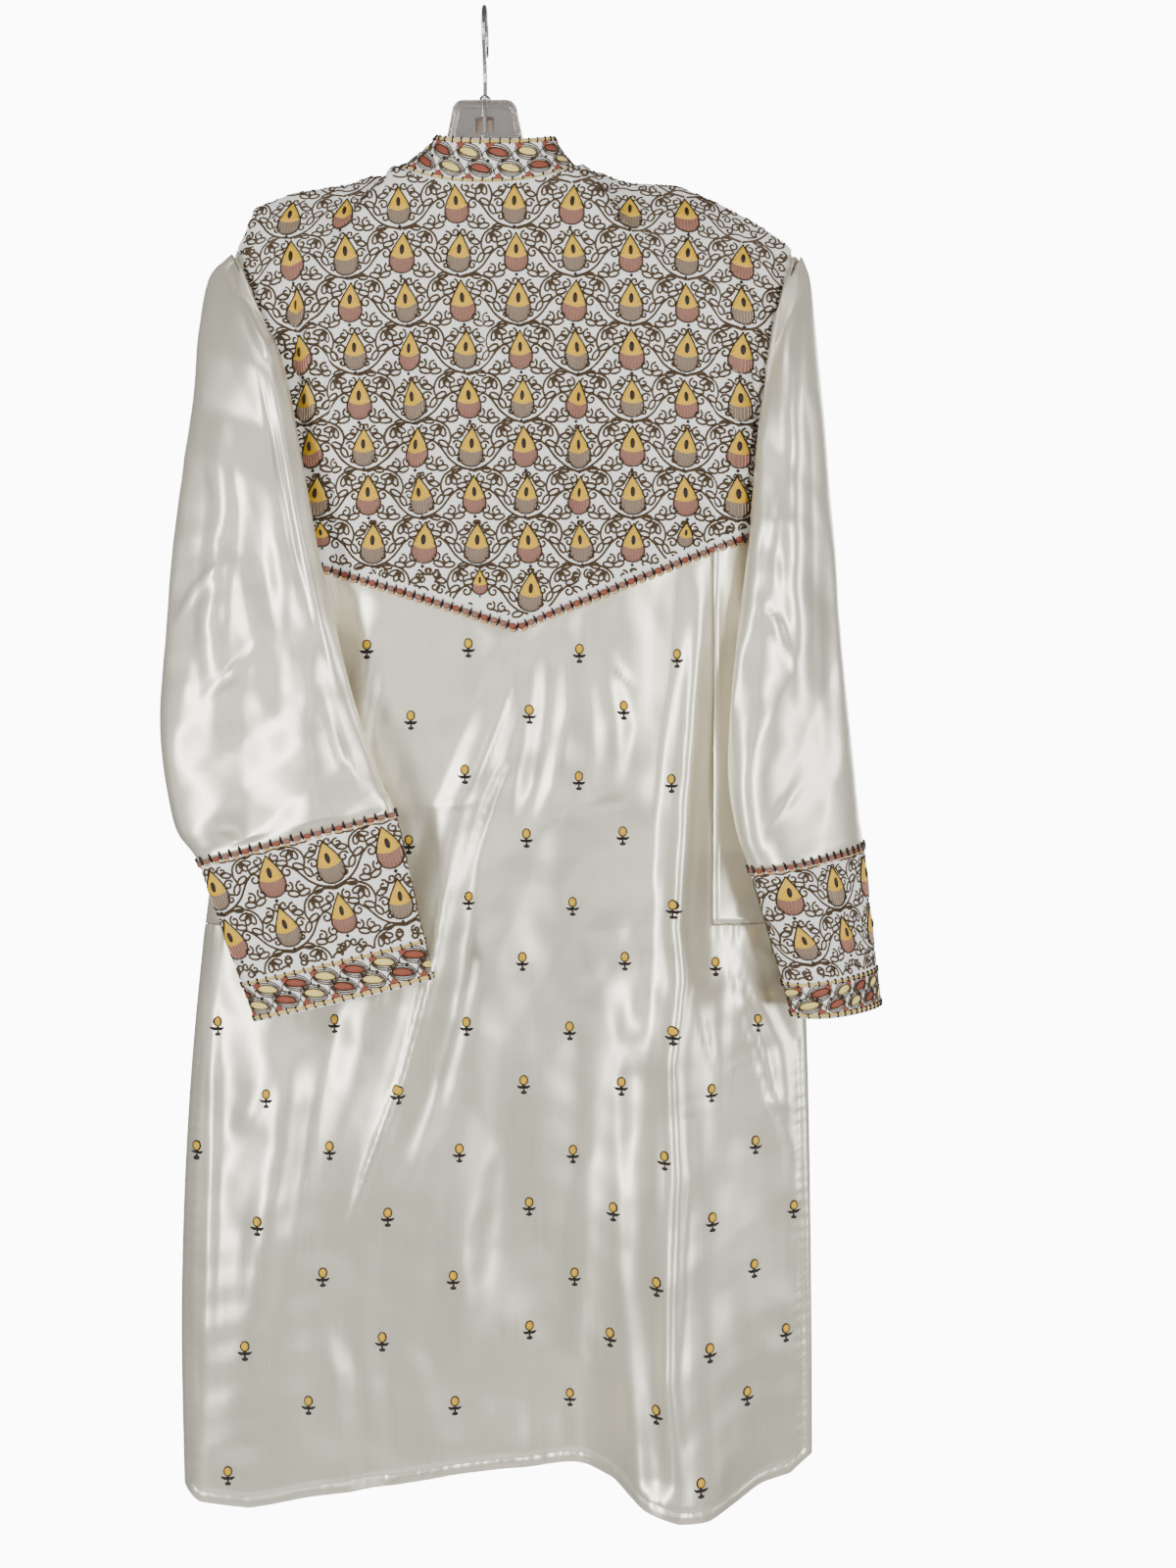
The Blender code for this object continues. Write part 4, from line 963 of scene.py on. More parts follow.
class Wire:
    """A shader socket that takes part in Python sums."""

    def __init__(self, finish, socket):
        self.finish, self.socket = finish, socket

    def math(self, operation, *values):
        """The output of a Math node fed with these values."""
        return self.finish.node("ShaderNodeMath", {"operation": operation}, dict(enumerate(values)))

    def __add__(self, other):
        return self.math("ADD", self, other)

    def __sub__(self, other):
        return self.math("SUBTRACT", self, other)

    def __rsub__(self, other):
        return self.math("SUBTRACT", other, self)

    def __mul__(self, other):
        return self.math("MULTIPLY", self, other)

    __radd__ = __add__
    __rmul__ = __mul__


class Finish:
    """A material: its shader's constant values, and nodes for what varies over a surface."""

    def __init__(self, name, constants):
        self.material = bpy.data.materials.new(name)
        self.material.use_nodes = True
        self.tree = self.material.node_tree
        self.shader = self.tree.nodes["Principled BSDF"]
        for key, value in constants.items():
            self.shader.inputs[key].default_value = value

    def node(self, kind, settings=None, values=None, output=0):
        """A node of a kind: its settings first, then values or wires into its sockets."""
        made = self.tree.nodes.new(kind)
        for key, value in (settings or {}).items():
            setattr(made, key, value)
        for key, value in (values or {}).items():
            self.feed(made.inputs[key], value)
        return Wire(self, made.outputs[output])

    def feed(self, socket, value):
        """A wire or a constant into a socket."""
        if isinstance(value, Wire):
            self.tree.links.new(value.socket, socket)
        else:
            socket.default_value = value

    def mix(self, factor, first, second):
        """A colour between two, by a factor."""
        return self.node("ShaderNodeMix", {"data_type": "RGBA"}, {0: factor, 6: first, 7: second}, 2)

    def noise(self, vector, stretch, detail=2.0):
        """Cloudy noise on a vector times a scale along each axis."""
        vector = self.node("ShaderNodeVectorMath", {"operation": "MULTIPLY"}, {0: vector, 1: stretch})
        return self.node("ShaderNodeTexNoise", {}, {"Vector": vector, "Scale": 1.0, "Detail": detail})

    def show(self, colour, roughness, height=None, strength=0.0, distance=0.0):
        """Feeds the shader's colour, roughness and relief, and gives the material."""
        self.feed(self.shader.inputs["Base Color"], colour)
        self.feed(self.shader.inputs["Roughness"], roughness)
        if height is not None:
            values = {"Height": height, "Strength": strength, "Distance": distance}
            self.feed(self.shader.inputs["Normal"], self.node("ShaderNodeBump", {}, values))
        return self.material


def shade(colour, factor):
    """A colour made darker or lighter, as four numbers."""
    return tuple(min(1.0, c * factor) for c in colour[:3]) + (1.0,)


def silk_finish():
    """Ivory silk: long warp streaks, a fine slub, a soft sheen, and a gloss that varies a little."""
    base = colours().silk
    constants = {"Metallic": 0.62, "Specular IOR Level": 0.8, "Coat Weight": 0.12, "Coat Roughness": 0.2}
    finish = Finish("ivory_silk", constants)
    weave = finish.node("ShaderNodeUVMap", {"uv_map": "Weave"})
    streaks = finish.noise(weave, (900.0, 14.0, 1.0), 3.0)
    slub = finish.noise(weave, (26.0, 1300.0, 1.0), 3.0)
    clouds = finish.noise(weave, (12.0, 5.0, 1.0))
    tone = finish.mix(streaks * 0.5 + slub * 0.3 + clouds * 0.35 - 0.1, shade(base, 0.80), shade(base, 1.06))
    gloss = 0.25 + 0.10 * streaks + 0.07 * clouds
    return finish.show(tone, gloss, streaks * 0.6 + slub * 0.5, 0.35, 0.00012)


def ground_finish():
    """The cooler white silk under the embroidery, matt, with a fine crossed weave."""
    base = colours().ground
    finish = Finish("embroidered_ground", {"Sheen Weight": 0.15, "Specular IOR Level": 0.4})
    weave = finish.node("ShaderNodeUVMap", {"uv_map": "Weave"})
    warp = finish.noise(weave, (1100.0, 60.0, 1.0))
    weft = finish.noise(weave, (60.0, 1100.0, 1.0))
    puckers = finish.noise(weave, (170.0, 170.0, 1.0))
    tone = finish.mix(warp * 0.5 + weft * 0.5, shade(base, 0.90), shade(base, 1.04))
    relief = puckers * 1.0 + warp * 0.15 + weft * 0.15
    return finish.show(tone, 0.50 + 0.15 * puckers, relief, 0.6, 0.0009)


def thread_finish():
    """Embroidery thread: its own colour, with painted shade in the dips between stitches and a painted
    highlight on their raised tops, and fine stitch relief.
    """
    finish = Finish("thread", {"Specular IOR Level": 0.3})
    grain = finish.node("ShaderNodeUVMap", {"uv_map": "Grain"})
    own = finish.node("ShaderNodeVertexColor", {"layer_name": "Thread"})
    stitches = finish.noise(grain, (3.2, 0.55, 1.0))
    fibre = finish.noise(grain, (9.0, 1.4, 1.0))
    # Painted shade and highlight: the colour follows the stitch relief, darker where it is low and lighter
    # where it is high.
    tone = finish.node("ShaderNodeMapRange", {}, {0: stitches, 1: 0.3, 2: 0.7, 3: 0.62, 4: 1.18})
    both = tone * (0.85 + 0.3 * fibre)
    colour = finish.node("ShaderNodeVectorMath", {"operation": "SCALE"}, {0: own, "Scale": both})
    return finish.show(colour, 0.42 + 0.2 * fibre, stitches + fibre * 0.5, 0.5, 0.0004)


def clouded_finish(name, constants, stretch, dark, pale, roughness, relief, detail=2.0):
    """A finish whose colour, roughness and relief follow one stretched noise over the object.

    `roughness` is its lowest value and its change, and `relief` its strength and distance.
    """
    finish = Finish(name, constants)
    cloud = finish.noise(finish.node("ShaderNodeTexCoord", {}, {}, 3), stretch, detail)
    low, change = roughness
    return finish.show(finish.mix(cloud, dark, pale), low + change * cloud, cloud, *relief)


def fitting_finish(name):
    """A finish of the fittings.

    These are clear smoky plastic with faint flow marks, a darkened brown copy of the plastic
    for the pane in the plate's window, which is painted shade, plated wire with fine drawing
    lines along it, and pearly shell with cloudy rings.
    """
    plastic, pearl = colours().plastic, colours().pearl
    # brown: the plastic's colour darkened, painted shade for the pane in the plate's window.
    brown = tuple(np.multiply(plastic, (0.36, 0.29, 0.23)))
    steel = (0.55, 0.55, 0.55, 1.0), (0.74, 0.74, 0.73, 1.0)
    clear = {"Transmission Weight": 0.88, "IOR": 1.49, "Coat Weight": 0.2}
    shell = {"Coat Weight": 0.5, "Coat Roughness": 0.1, "Specular IOR Level": 0.6}
    values = {
        "hanger_clear": (
            clear, (40.0, 40.0, 160.0), shade(plastic, 0.92), shade(plastic, 1.08), (0.08, 0.10),
            (0.15, 0.0004)),
        # The window's pane: painted shade, as a darkened brown copy of the plastic.
        "window_painted_shade": (
            {"Specular IOR Level": 0.5}, (300.0, 300.0, 300.0), shade(brown, 0.85), shade(brown, 1.15),
            (0.35, 0.2), (0.2, 0.0002)),
        "plated_wire": ({"Metallic": 1.0}, (900.0, 900.0, 60.0), *steel, (0.18, 0.14), (0.1, 0.0001)),
        "button_shell": (
            shell, (260.0, 260.0, 420.0), shade(pearl, 0.82), shade(pearl, 1.15), (0.18, 0.14),
            (0.15, 0.0002), 3.0),
    }
    return clouded_finish(name, *values[name])


CLOTH_FINISHES = {"ivory_silk": silk_finish, "embroidered_ground": ground_finish, "thread": thread_finish}


def finish_of(name):
    """A finish by name, made the first time that it is asked for."""
    made = bpy.data.materials.get(name)
    if made is None:
        made = CLOTH_FINISHES[name]() if name in CLOTH_FINISHES else fitting_finish(name)
    return made


def yoke_rows(top, end, count):
    """Heights from the crown to the seam, close together where the cloth rounds over."""
    angle = np.linspace(0, np.pi / 2, 9, endpoint=False)[:, None]
    curve_part = BEND_DROP * (1 - np.cos(angle))
    rest = np.linspace(0, 1, count)[:, None] ** 1.1
    start = top + BEND_DROP
    return np.concatenate([top + curve_part, start + (end - start) * rest])


def neck_columns(count):
    """x values across the neck hole, close together at its two sides."""
    return NECK_X - NECK_HALF * signed_power(np.cos(np.linspace(0, np.pi, count)), 2 / NECK_SQUARENESS)


def armhole_x(down, right):
    """The x of an armhole's edge."""
    return edge_x(down, 1 - ARMHOLE_SHARE if right else ARMHOLE_SHARE)


def crown_columns(right, count):
    """x values along a shoulder, short of the neck's side."""
    end = armhole_x(BODY["down"][0], right)
    if right:
        return np.linspace(NECK_RIGHT, end, count + 1)[1:]
    return np.linspace(end, NECK_LEFT, count + 1)[:-1]


def yoke_points(side, top_x, end_share, armholes, count):
    """A yoke's grid: straight columns from its top edge to its seam, eased at both ends.

    The columns named in `armholes` follow the armholes.
    """
    end_left = armhole_x(seam_down(YOKE_SEAM["x"][0]), False)
    end_right = armhole_x(seam_down(YOKE_SEAM["x"][-1]), True)
    end_x = np.interp(end_share, (0, 0.5, 1), (end_left, YOKE_TIP_X, end_right))
    down = yoke_rows(top_down(side, top_x), seam_down(end_x) - SEAM_GAP / 2, count)
    share = (down - down[0]) / (down[-1] - down[0])
    x = top_x + (end_x - top_x) * ease(share)
    x = np.clip(x, armhole_x(down, False), armhole_x(down, True))
    for column, right in armholes:
        x[:, column] = armhole_x(down[:, column], right)
    return yoke_place(side)(x, down)


class KURTA_OT_yokes(bpy.types.Operator):
    """Make the embroidered yokes' cloth, back and front"""

    bl_idname = "kurta.yokes"
    bl_label = "Yokes"

    def execute(self, context):
        left, neck, right = crown_columns(False, 38), neck_columns(45), crown_columns(True, 44)
        top_x = np.concatenate([left, neck, right])
        points = yoke_points(-1, top_x, np.linspace(0, 1, len(top_x)), ((0, False), (-1, True)), 76)
        cut = (0.557, 0.380, 0.142)
        cloth_piece("yoke_back_cloth", "back_yoke", points, -1, "embroidered")
        middle = len(neck) // 2
        left_x, right_x = np.concatenate([left, neck[: middle + 1]]), np.concatenate([neck[middle:], right])
        halves = (
            ("left", left_x, (0, 0.5), ((0, False),), -1, -SEAM_GAP / 2, (0.300, 0.370, 0.065)),
            ("right", right_x, (0.5, 1), ((-1, True),), 0, SEAM_GAP / 2, (0.308, 0.370, 0.071)),
        )
        for key, columns, share, armholes, centre, inset, cut in halves:
            points = yoke_points(1, columns, np.linspace(*share, len(columns)), armholes, 64)
            down = -points[:, centre, 2]
            points[:, centre] = yoke_place(1)(centre_x(down) + inset, down)
            name, node = f"yoke_front_{key}_cloth", f"front_yoke_{key}"
            cloth_piece(name, node, points, 1, "embroidered")
        return {"FINISHED"}


def spaced(start, end, step, near_start=0.0, near_end=0.0, fine=0.0014):
    """Values from start to end at a step, at a finer step within some distance of an end."""
    parts = [start]
    while parts[-1] < end - 1e-9:
        here = parts[-1]
        close = here - start < near_start or end - here < near_end
        parts.append(min(here + (fine if close else step), end))
    return np.array(parts)


def lower_panel(name, node, side):
    """The back or the front below the yoke, wider below the gathered seam.

    Between the side seams each column has its own x. Outside them the columns close up
    towards the body's edge, by a power of their share of the way.
    """
    inner_columns, upper_rows, flap = (102, 76, 26) if side < 0 else (86, 62, 22)
    inner = np.linspace(SIDE_SEAM_LEFT + SEAM_GAP / 2, SIDE_SEAM_RIGHT - SEAM_GAP / 2, inner_columns)
    inner[np.argmin(np.abs(inner - YOKE_TIP_X))] = YOKE_TIP_X
    gather = GATHER_DOWN + SEAM_GAP / 2
    top = seam_down(inner) + SEAM_GAP / 2
    upper = top + (gather - top) * np.linspace(0, 1, upper_rows)[:, None]
    share = spaced(0.0, 1.0, 0.0075, near_start=0.03, near_end=0.026, fine=0.0035)[1:, None]
    lower = gather + (hem_down(side, inner) - gather) * share
    down = np.concatenate([upper, lower])
    x = np.broadcast_to(inner, down.shape)
    ends = [side_columns(side, down[:, k], upper_rows, share, inner[k], k, flap) for k in (0, -1)]
    x = np.concatenate([ends[0][0], x, ends[1][0]], axis=1)
    down = np.concatenate([ends[0][1], down, ends[1][1]], axis=1)
    cells = np.ones((len(x) - 1, x.shape[1] - 1), bool)
    cells[: upper_rows - 1, :flap] = False
    cells[: upper_rows - 1, -flap:] = False
    cloth_piece(name, node, panel_place(side)(x, down), side, "silk", cells)


def side_columns(side, column_down, upper_rows, share, seam_x, end, flap):
    """x and down of the columns from a side seam's line to the body's edge.

    `end` is 0 on the left and -1 on the right.
    """
    bend = (np.arange(flap, 0, -1) / flap)[None]
    if end < 0:
        bend = bend[:, ::-1]
    gather = GATHER_DOWN + SEAM_GAP / 2
    down = np.repeat(column_down[:, None], flap, axis=1)
    for _ in range(3):
        x = seam_x + (edge_x(down, -end) - seam_x) * (1 - (1 - bend) ** 1.5)
        down[upper_rows:] = gather + (hem_down(side, x[upper_rows:]) - gather) * share
    return x, down


def side_panel(key):
    """The piece under an arm, from its back seam round the body's edge to its front seam."""
    right = key == "right"
    columns, rows = 61, 56
    turn = np.linspace(-1, 1, columns)
    seam_x = SIDE_SEAM_RIGHT + SEAM_GAP / 2 if right else SIDE_SEAM_LEFT - SEAM_GAP / 2
    share = np.linspace(0, 1, rows)[:, None]
    down = np.full((rows, columns), GATHER_DOWN)
    for _ in range(6):
        edge = edge_x(down, 1 if right else 0)
        x = edge + (seam_x - edge) * np.abs(turn) ** SIDE_ROUNDNESS
        top = seam_down(x[0]) + SEAM_GAP / 2
        down = top + (GATHER_DOWN - SEAM_GAP / 2 - top) * share
    wave = (ripple(x, down) + facets(x, down)) * edge_fade(x, down)
    sides = [joined(x, surface(side, x, down, slit=False) + side * wave, -down) for side in (-1, 1)]
    points = np.where((turn < 0)[None, :, None], *sides)
    name, node, outward = f"side_{key}_silk", f"side_panel_{key}", -1 if right else 1
    cloth_piece(name, node, points, outward, "silk")


class KURTA_OT_panels(bpy.types.Operator):
    """Make the plain silk panels of the back, the front and the sides"""

    bl_idname = "kurta.panels"
    bl_label = "Silk panels"

    def execute(self, context):
        lower_panel("back_silk", "back_panel", -1)
        lower_panel("front_silk", "front_panel", 1)
        side_panel("left")
        side_panel("right")
        return {"FINISHED"}


def arm_piece(name, node, points, open_rows, outward, slot):
    """A sleeve's or cuff's cloth, whose first and last columns are one below its open rows."""
    ids = np.arange(points.shape[0] * points.shape[1]).reshape(points.shape[:2])
    ids[open_rows:, -1] = ids[open_rows:, 0]
    points[open_rows:, -1] = points[open_rows:, 0]
    cloth_piece(name, node, points, outward, slot, ids=ids, closed=open_rows == 0)


class KURTA_OT_sleeves(bpy.types.Operator):
    """Make the silk sleeves and the cuffs' cloth"""

    bl_idname = "kurta.sleeves"
    bl_label = "Sleeves and cuffs"

    def execute(self, context):
        for key in ARMS:
            outward = -1 if key == "right" else 1
            under = UNDERARM_SECTION[key]
            open_part = np.linspace(0, under - 0.03, 62)
            closed_part = under + (CUFF_SECTION - CUFF_GAP_SHARE - under) * np.linspace(0, 1, 84) ** 1.1
            t, s = np.meshgrid(loop_shares(key, 100, 6), np.concatenate([open_part, closed_part]))
            arm_piece(
                f"sleeve_{key}_silk", f"sleeve_{key}", creased_sleeve(key, t, s), len(open_part), outward,
                "silk")
            s = np.linspace(CUFF_SECTION + CUFF_GAP_SHARE, CUFF_SECTION + 2, 36)
            t, s = np.meshgrid(loop_shares(key, 96, 10), s)
            arm_piece(
                f"cuff_{key}_cloth", f"cuff_{key}", arm_point(ARMS[key], t, s), 0, outward,
                "embroidered")
        return {"FINISHED"}


class KURTA_OT_collar(bpy.types.Operator):
    """Make the stand collar's and the placket's cloth"""

    bl_idname = "kurta.collar"
    bl_label = "Collar and placket"

    def execute(self, context):
        angle_table, length = collar_turns()
        angle = np.interp(np.linspace(0, length[-1], 161), length, angle_table)
        points = collar_points(*np.meshgrid(angle, np.linspace(0, 1, 14)))
        cloth_piece("collar_cloth", "collar", points, -1, "embroidered")
        across = np.linspace(-PLACKET_HALF, PLACKET_HALF, 13)
        points = placket_place(*np.meshgrid(across, np.linspace(PLACKET_TOP, PLACKET_END, 110)))
        cloth_piece("placket_cloth", "placket", points, 1, "embroidered", lift=LAP)
        return {"FINISHED"}


def drop_motif(work, lower, scale=1.0):
    """A teardrop: a coloured cup with pale stitch gaps, a gold upper part, a dark slit and a dot.

    The gold has the drop's own outline down to an arc that dips into the cup.
    """
    c, s = colours(), sizes()
    width, height = s.drop_width * scale, s.drop_height * scale
    outline = drop_outline(width, height)
    work.patch(outline, lower, 0.9 * scale, centre=(0, -0.12 * height))
    for place in (-0.37, -0.25, -0.13, 0.0, 0.13, 0.25, 0.37):
        foot = -0.5 * height * np.sqrt(1 - (2 * place * 0.90) ** 2) + 0.05 * height
        gap = np.linspace((place * width, foot), (place * width, -0.14 * height), 3)
        work.line(gap, 0.55, shade(lower, 3.2)[:3], height=1.2 * scale)
    gold = outline * 0.93 + (0, 0.012 * height)
    dip = np.sqrt(np.clip(1 - (gold[:, 0] / (0.47 * width)) ** 2, 0, 1))
    gold[:, 1] = np.maximum(gold[:, 1], -(0.045 + 0.15 * dip) * height)
    work.patch(gold, c.gold, 1.7 * scale, centre=(0, 0.08 * height), rim=shade(c.cream, 0.95)[:3])
    slit = dot_outline(1.0, 10) * (2.0 * scale, 0.15 * height) + (0, 0.06 * height)
    work.patch(slit, c.black, 3.0 * scale)
    work.line(closed_path(outline), 1.1, c.brown, height=1.2)
    work.patch(dot_outline(1.5 * scale) + (0, -height / 2 - 2.2 * scale), c.black, 0.9)


# How far a curl turns round. A gap's curls are x, y, radius, first angle and hand, and its loops
# are x, y and angles.
CURL_TURNS = 1.12
GAP_CURLS = (
    (-9.2, -0.4, 4.3, 60, 1), (-14.6, 12.4, 3.9, 100, 1), (12.0, 11.6, 4.1, 100, -1),
    (18.4, 15.0, 3.3, 200, 1), (10.2, 0.6, 4.0, 160, -1), (-2.6, -12.6, 4.0, 80, 1),
    (-11.6, -11.0, 3.9, 60, -1), (11.6, -9.6, 3.7, 150, -1),
)
GAP_LOOPS = (
    (-2.4, 14.6, (-165, -118, -72)), (3.2, -0.6, (150, -60)), (6.2, 6.6, (20,)), (-5.0, -17.6, (160, 12)),
    (13.0, -16.4, (-165,)), (-7.0, 5.6, (165,)),
)


def draw_threads(work, lines, turn=(1.0, 1.0)):
    """Brown scroll threads along lines, with a lighter copy of the brown along their raised middle as a
    painted highlight.
    """
    brown = colours().brown
    for path in lines:
        # The edges keep the brown, and the raised middle is 2.6 times lighter: a painted highlight along
        # each thread.
        work.line(path * np.array(turn), sizes().thread, brown, shade(brown, 2.6)[:3], height=0.8)


def scroll_motif(work, flip):
    """A gap's scrolls: two winding stems with curls and sprays of loops beside them.

    Drawn in millimetres between two drops 43 apart, in a row 36 high. `flip` is 1 or -1
    across it.
    """
    lines = [
        curve((-21, 17.4), (-13, 19.4), (-4, 18.2), (2.6, 13.6), (5.0, 6.0), (3.0, -0.5), count=15),
        curve((-7.5, 3.4), (-3.0, -0.6), (0.5, -5.4), (4.5, -10.5), (11.5, -15.4), (21, -18.2), count=15),
    ]
    lines += [curl(*row) for row in GAP_CURLS]
    lines += [loop(x, y, angle) for x, y, angles in GAP_LOOPS for angle in angles]
    draw_threads(work, lines, (flip, 1.0))


def spray_motif(work):
    """Curls and loops for a place where no drop fits."""
    lines = [curl(-4.6, 9.0, 4.0, 60, 1), curl(5.0, 3.0, 4.0, 100, -1)]
    lines += [curl(-4.4, -6.0, 3.9, 60, 1), curl(5.4, 12.6, 3.4, 100, -1)]
    lines += [loop(0.5, -1.5, angle) for angle in (150, -40, -95)]
    draw_threads(work, lines + [curve((-12, -14), (-4, -12), (4, -14), (12, -12), count=8)])


SMALL_DROP = 0.62


def fill_with_drops(work, columns, rows, spot_of):
    """Drops on a grid and scrolls in the gaps beside them, the colours as on a chessboard.

    Each drop is turned and sized a little differently, by sines of its place. A small
    one, a little higher, fills a place where a whole one doesn't fit.
    """
    c = colours()
    for row in rows:
        for column in columns:
            lower = c.mauve if (row + column) % 2 else c.taupe
            scale = 0.97 + 0.04 * np.sin(7 * column + 4 * row)
            work.spot = turned(spot_of(column, row), 0.09 * np.sin(5 * column + 3 * row))
            if drop_fits(work, 1.0):
                drop_motif(work, lower, scale)
            else:
                work.spot = moved(work.spot, (0.0, 7.0))
                if drop_fits(work, SMALL_DROP):
                    drop_motif(work, lower, SMALL_DROP)
                else:
                    work.spot = spot_of(column, row)
                    spray_motif(work)
            work.spot = spot_of(column + 0.5, row)
            scroll_motif(work, 1 if (row + column) % 2 else -1)


def drop_fits(work, scale):
    """Whether a drop of a scale lies wholly on the cloth."""
    s = sizes()
    return work.inside(work.spot(drop_outline(s.drop_width * scale, s.drop_height * scale))).all()


def spot_at(origin, across=(1.0, 0.0), up=(0.0, -1.0)):
    """A spot on cloth: a motif's millimetres from an origin, along two directions of the cloth."""
    axes = np.array([across, up]) * 0.001
    return lambda flat: np.asarray(origin) + np.asarray(flat, float) @ axes


def moved(spot, shift):
    """The same spot with a motif's origin moved by millimetres."""
    return lambda flat: spot(np.asarray(flat, float) + np.asarray(shift))


def turned(spot, angle):
    """The same spot with a motif turned by an angle."""
    turn = np.array([[np.cos(angle), np.sin(angle)], [-np.sin(angle), np.cos(angle)]])
    return lambda flat: spot(np.asarray(flat, float) @ turn)


def knot_trim(work, length, spot, high=3.8, low=-4.4):
    """The seam's trim: a round knot, a tan bead and a black stitch across it, a unit at a time.

    `high` and `low` are the ends of the black stitches, in millimetres from the seam.
    """
    c, pitch = colours(), sizes().knot_pitch * 1000
    count = int(round(length * 1000 / pitch))
    work.spot = spot
    for k in range(count):
        middle = (k + 0.5) * length * 1000 / count
        work.patch(dot_outline(1.0, 9) * (3.2, 2.7) + (middle, -0.7), c.mauve if k % 3 else c.russet, 1.5)
        work.patch(dot_outline(1.0, 9) * (2.8, 1.3) + (middle + 0.4, -4.0), c.braid, 0.9)
        cross = curve((middle + 3.2, high), (middle + 3.8, (high + low) / 2), (middle + 3.2, low), count=5)
        work.line(cross, 1.9, c.black, height=2.0, taper=True)


def edge_braid(work, length, spot, width):
    """A tan braid along a length, with black stitches across it."""
    c, pitch = colours(), 7.4
    work.spot = spot
    reach = length * 1000
    path = joined(np.linspace(0, reach, int(reach / 4)), 0.0)
    work.line(path, width, c.braid, shade(c.cream, 0.9)[:3], height=1.0)
    for middle in np.arange(pitch / 2, reach, pitch):
        cross = [(middle - 0.3, -2.4), (middle, 0.0), (middle + 0.3, 2.4)]
        work.line(cross, 1.6, c.black, height=1.9)


def leaf(work, colour):
    """A plump leaf with dark lines that follow both of its sides, and a curled tail."""
    c = colours()
    f = np.linspace(0, np.pi, 9)
    sweep, slope = -np.cos(f), 0.24
    upper = joined(7.6 * sweep, 3.8 * np.sin(f) + slope * 7.6 * sweep)
    lower = joined(-7.6 * sweep, -2.5 * np.sin(f) - slope * 7.6 * sweep)
    outline = np.concatenate([upper, lower[1:-1]])
    work.patch(outline, colour, 1.0)
    work.line(closed_path(outline), 1.2, c.brown, height=1.1)
    for high, reach in ((5.3, 9.0), (7.1, 10.4), (-4.1, 8.6), (-5.7, 9.6)):
        side_line = joined(reach * sweep, high * np.sin(f) + slope * reach * sweep)
        work.line(side_line, 1.2, c.brown, shade(c.taupe, 0.7)[:3], height=0.7)
    work.line(curve((7.4, 2.4), (11.0, 0.6), (11.2, -3.4), (8.8, -4.4), count=7), 1.1, c.brown, height=0.7)


def leaf_border(work, length, spot, half):
    """Two rows of leaves between two braids, with dots between them and triangles at the braids."""
    c = colours()
    count = int(round(length / sizes().leaf_pitch))
    step = length * 1000 / count
    for k in range(count):
        for row in (1, -1):
            x = (k + (0.5 if row > 0 else 0.0) + 0.25) * step
            work.spot = moved(spot, (x, row * half * 0.45))
            leaf(work, c.russet if (k + (row > 0)) % 2 else c.cream)
        work.spot = spot
        for x in (k * step, (k + 0.5) * step):
            work.patch(dot_outline(1.5) + (x + 1.0, 0.0), c.black, 1.1)
        for row in (1, -1):
            x, base = (k + (0.0 if row > 0 else 0.5)) * step + 2.0, row * half
            triangle = [(x - 4.6, base), (x, base + row * 0.2), (x + 4.6, base), (x, base - row * 5.0)]
            work.patch(triangle, c.russet, 1.0)


# How far the yokes' embroidery stays from the crown, the seam, the armholes and the placket's
# sides, from the placket's top, and from the centre front above it.
CROWN_MARGINS, SEAM_MARGIN, SIDE_MARGIN = {-1: 0.0012, 1: 0.004}, 0.0055, 0.003
PLACKET_MARGIN, CENTRE_MARGIN = 0.004, 0.001


def yoke_inside(side):
    """Which x and down lie on a yoke's cloth, short of its edges."""
    def inside(flat):
        x, down = flat[:, 0], flat[:, 1]
        kept = (down > top_down(side, x) + CROWN_MARGINS[side]) & (down < seam_down(x) - SEAM_MARGIN)
        kept &= (x > armhole_x(down, False) + SIDE_MARGIN) & (x < armhole_x(down, True) - SIDE_MARGIN)
        if side > 0:
            off_centre = np.abs(x - centre_x(down))
            kept &= (off_centre > PLACKET_HALF + SIDE_MARGIN) | (down < PLACKET_TOP - PLACKET_MARGIN)
            kept &= off_centre > CENTRE_MARGIN
        return kept
    return inside


# The yoke's first drop, as x and down, and how its columns lean and draw together below it.
FIRST_DROP = (0.0258, 0.1735)
COLUMN_LEAN, COLUMN_SPREAD = 0.043, -0.017
# How far the trims and borders end short of a piece's ends.
TRIM_INSET = 0.002


class KURTA_OT_yoke_work(bpy.types.Operator):
    """Embroider the yokes with drops and scrolls, and trim their lower seam"""

    bl_idname = "kurta.yoke_work"
    bl_label = "Yoke embroidery"

    def execute(self, context):
        s = sizes()

        def spot_of(column, row):
            """Where one drop of the yoke's rows lies."""
            below = row * s.row_pitch
            lean = (COLUMN_LEAN + COLUMN_SPREAD * column) * below
            return spot_at((FIRST_DROP[0] + column * s.column_pitch + lean, FIRST_DROP[1] + below))

        ends_x = [armhole_x(YOKE_SEAM["down"][0], False) + TRIM_INSET, YOKE_SEAM["x"][1]]
        ends_x.append(armhole_x(YOKE_SEAM["down"][2], True) - TRIM_INSET)
        corners = joined(ends_x, seam_down(ends_x))
        for side, name in ((-1, "back"), (1, "front")):
            work = Stitching(yoke_inside(side))
            fill_with_drops(work, range(-6, 6), range(-2, 9), spot_of)
            work.set_on(f"yoke_{name}_embroidery", yoke_place(side), side)
            trim = Stitching()
            for start, end in zip(corners[:-1], corners[1:]):
                length = np.hypot(*(end - start))
                along = (end - start) / length
                knot_trim(trim, length, spot_at(start, along, (along[1], -along[0])))
            trim.set_on(f"yoke_{name}_trim", yoke_place(side), side)
        return {"FINISHED"}


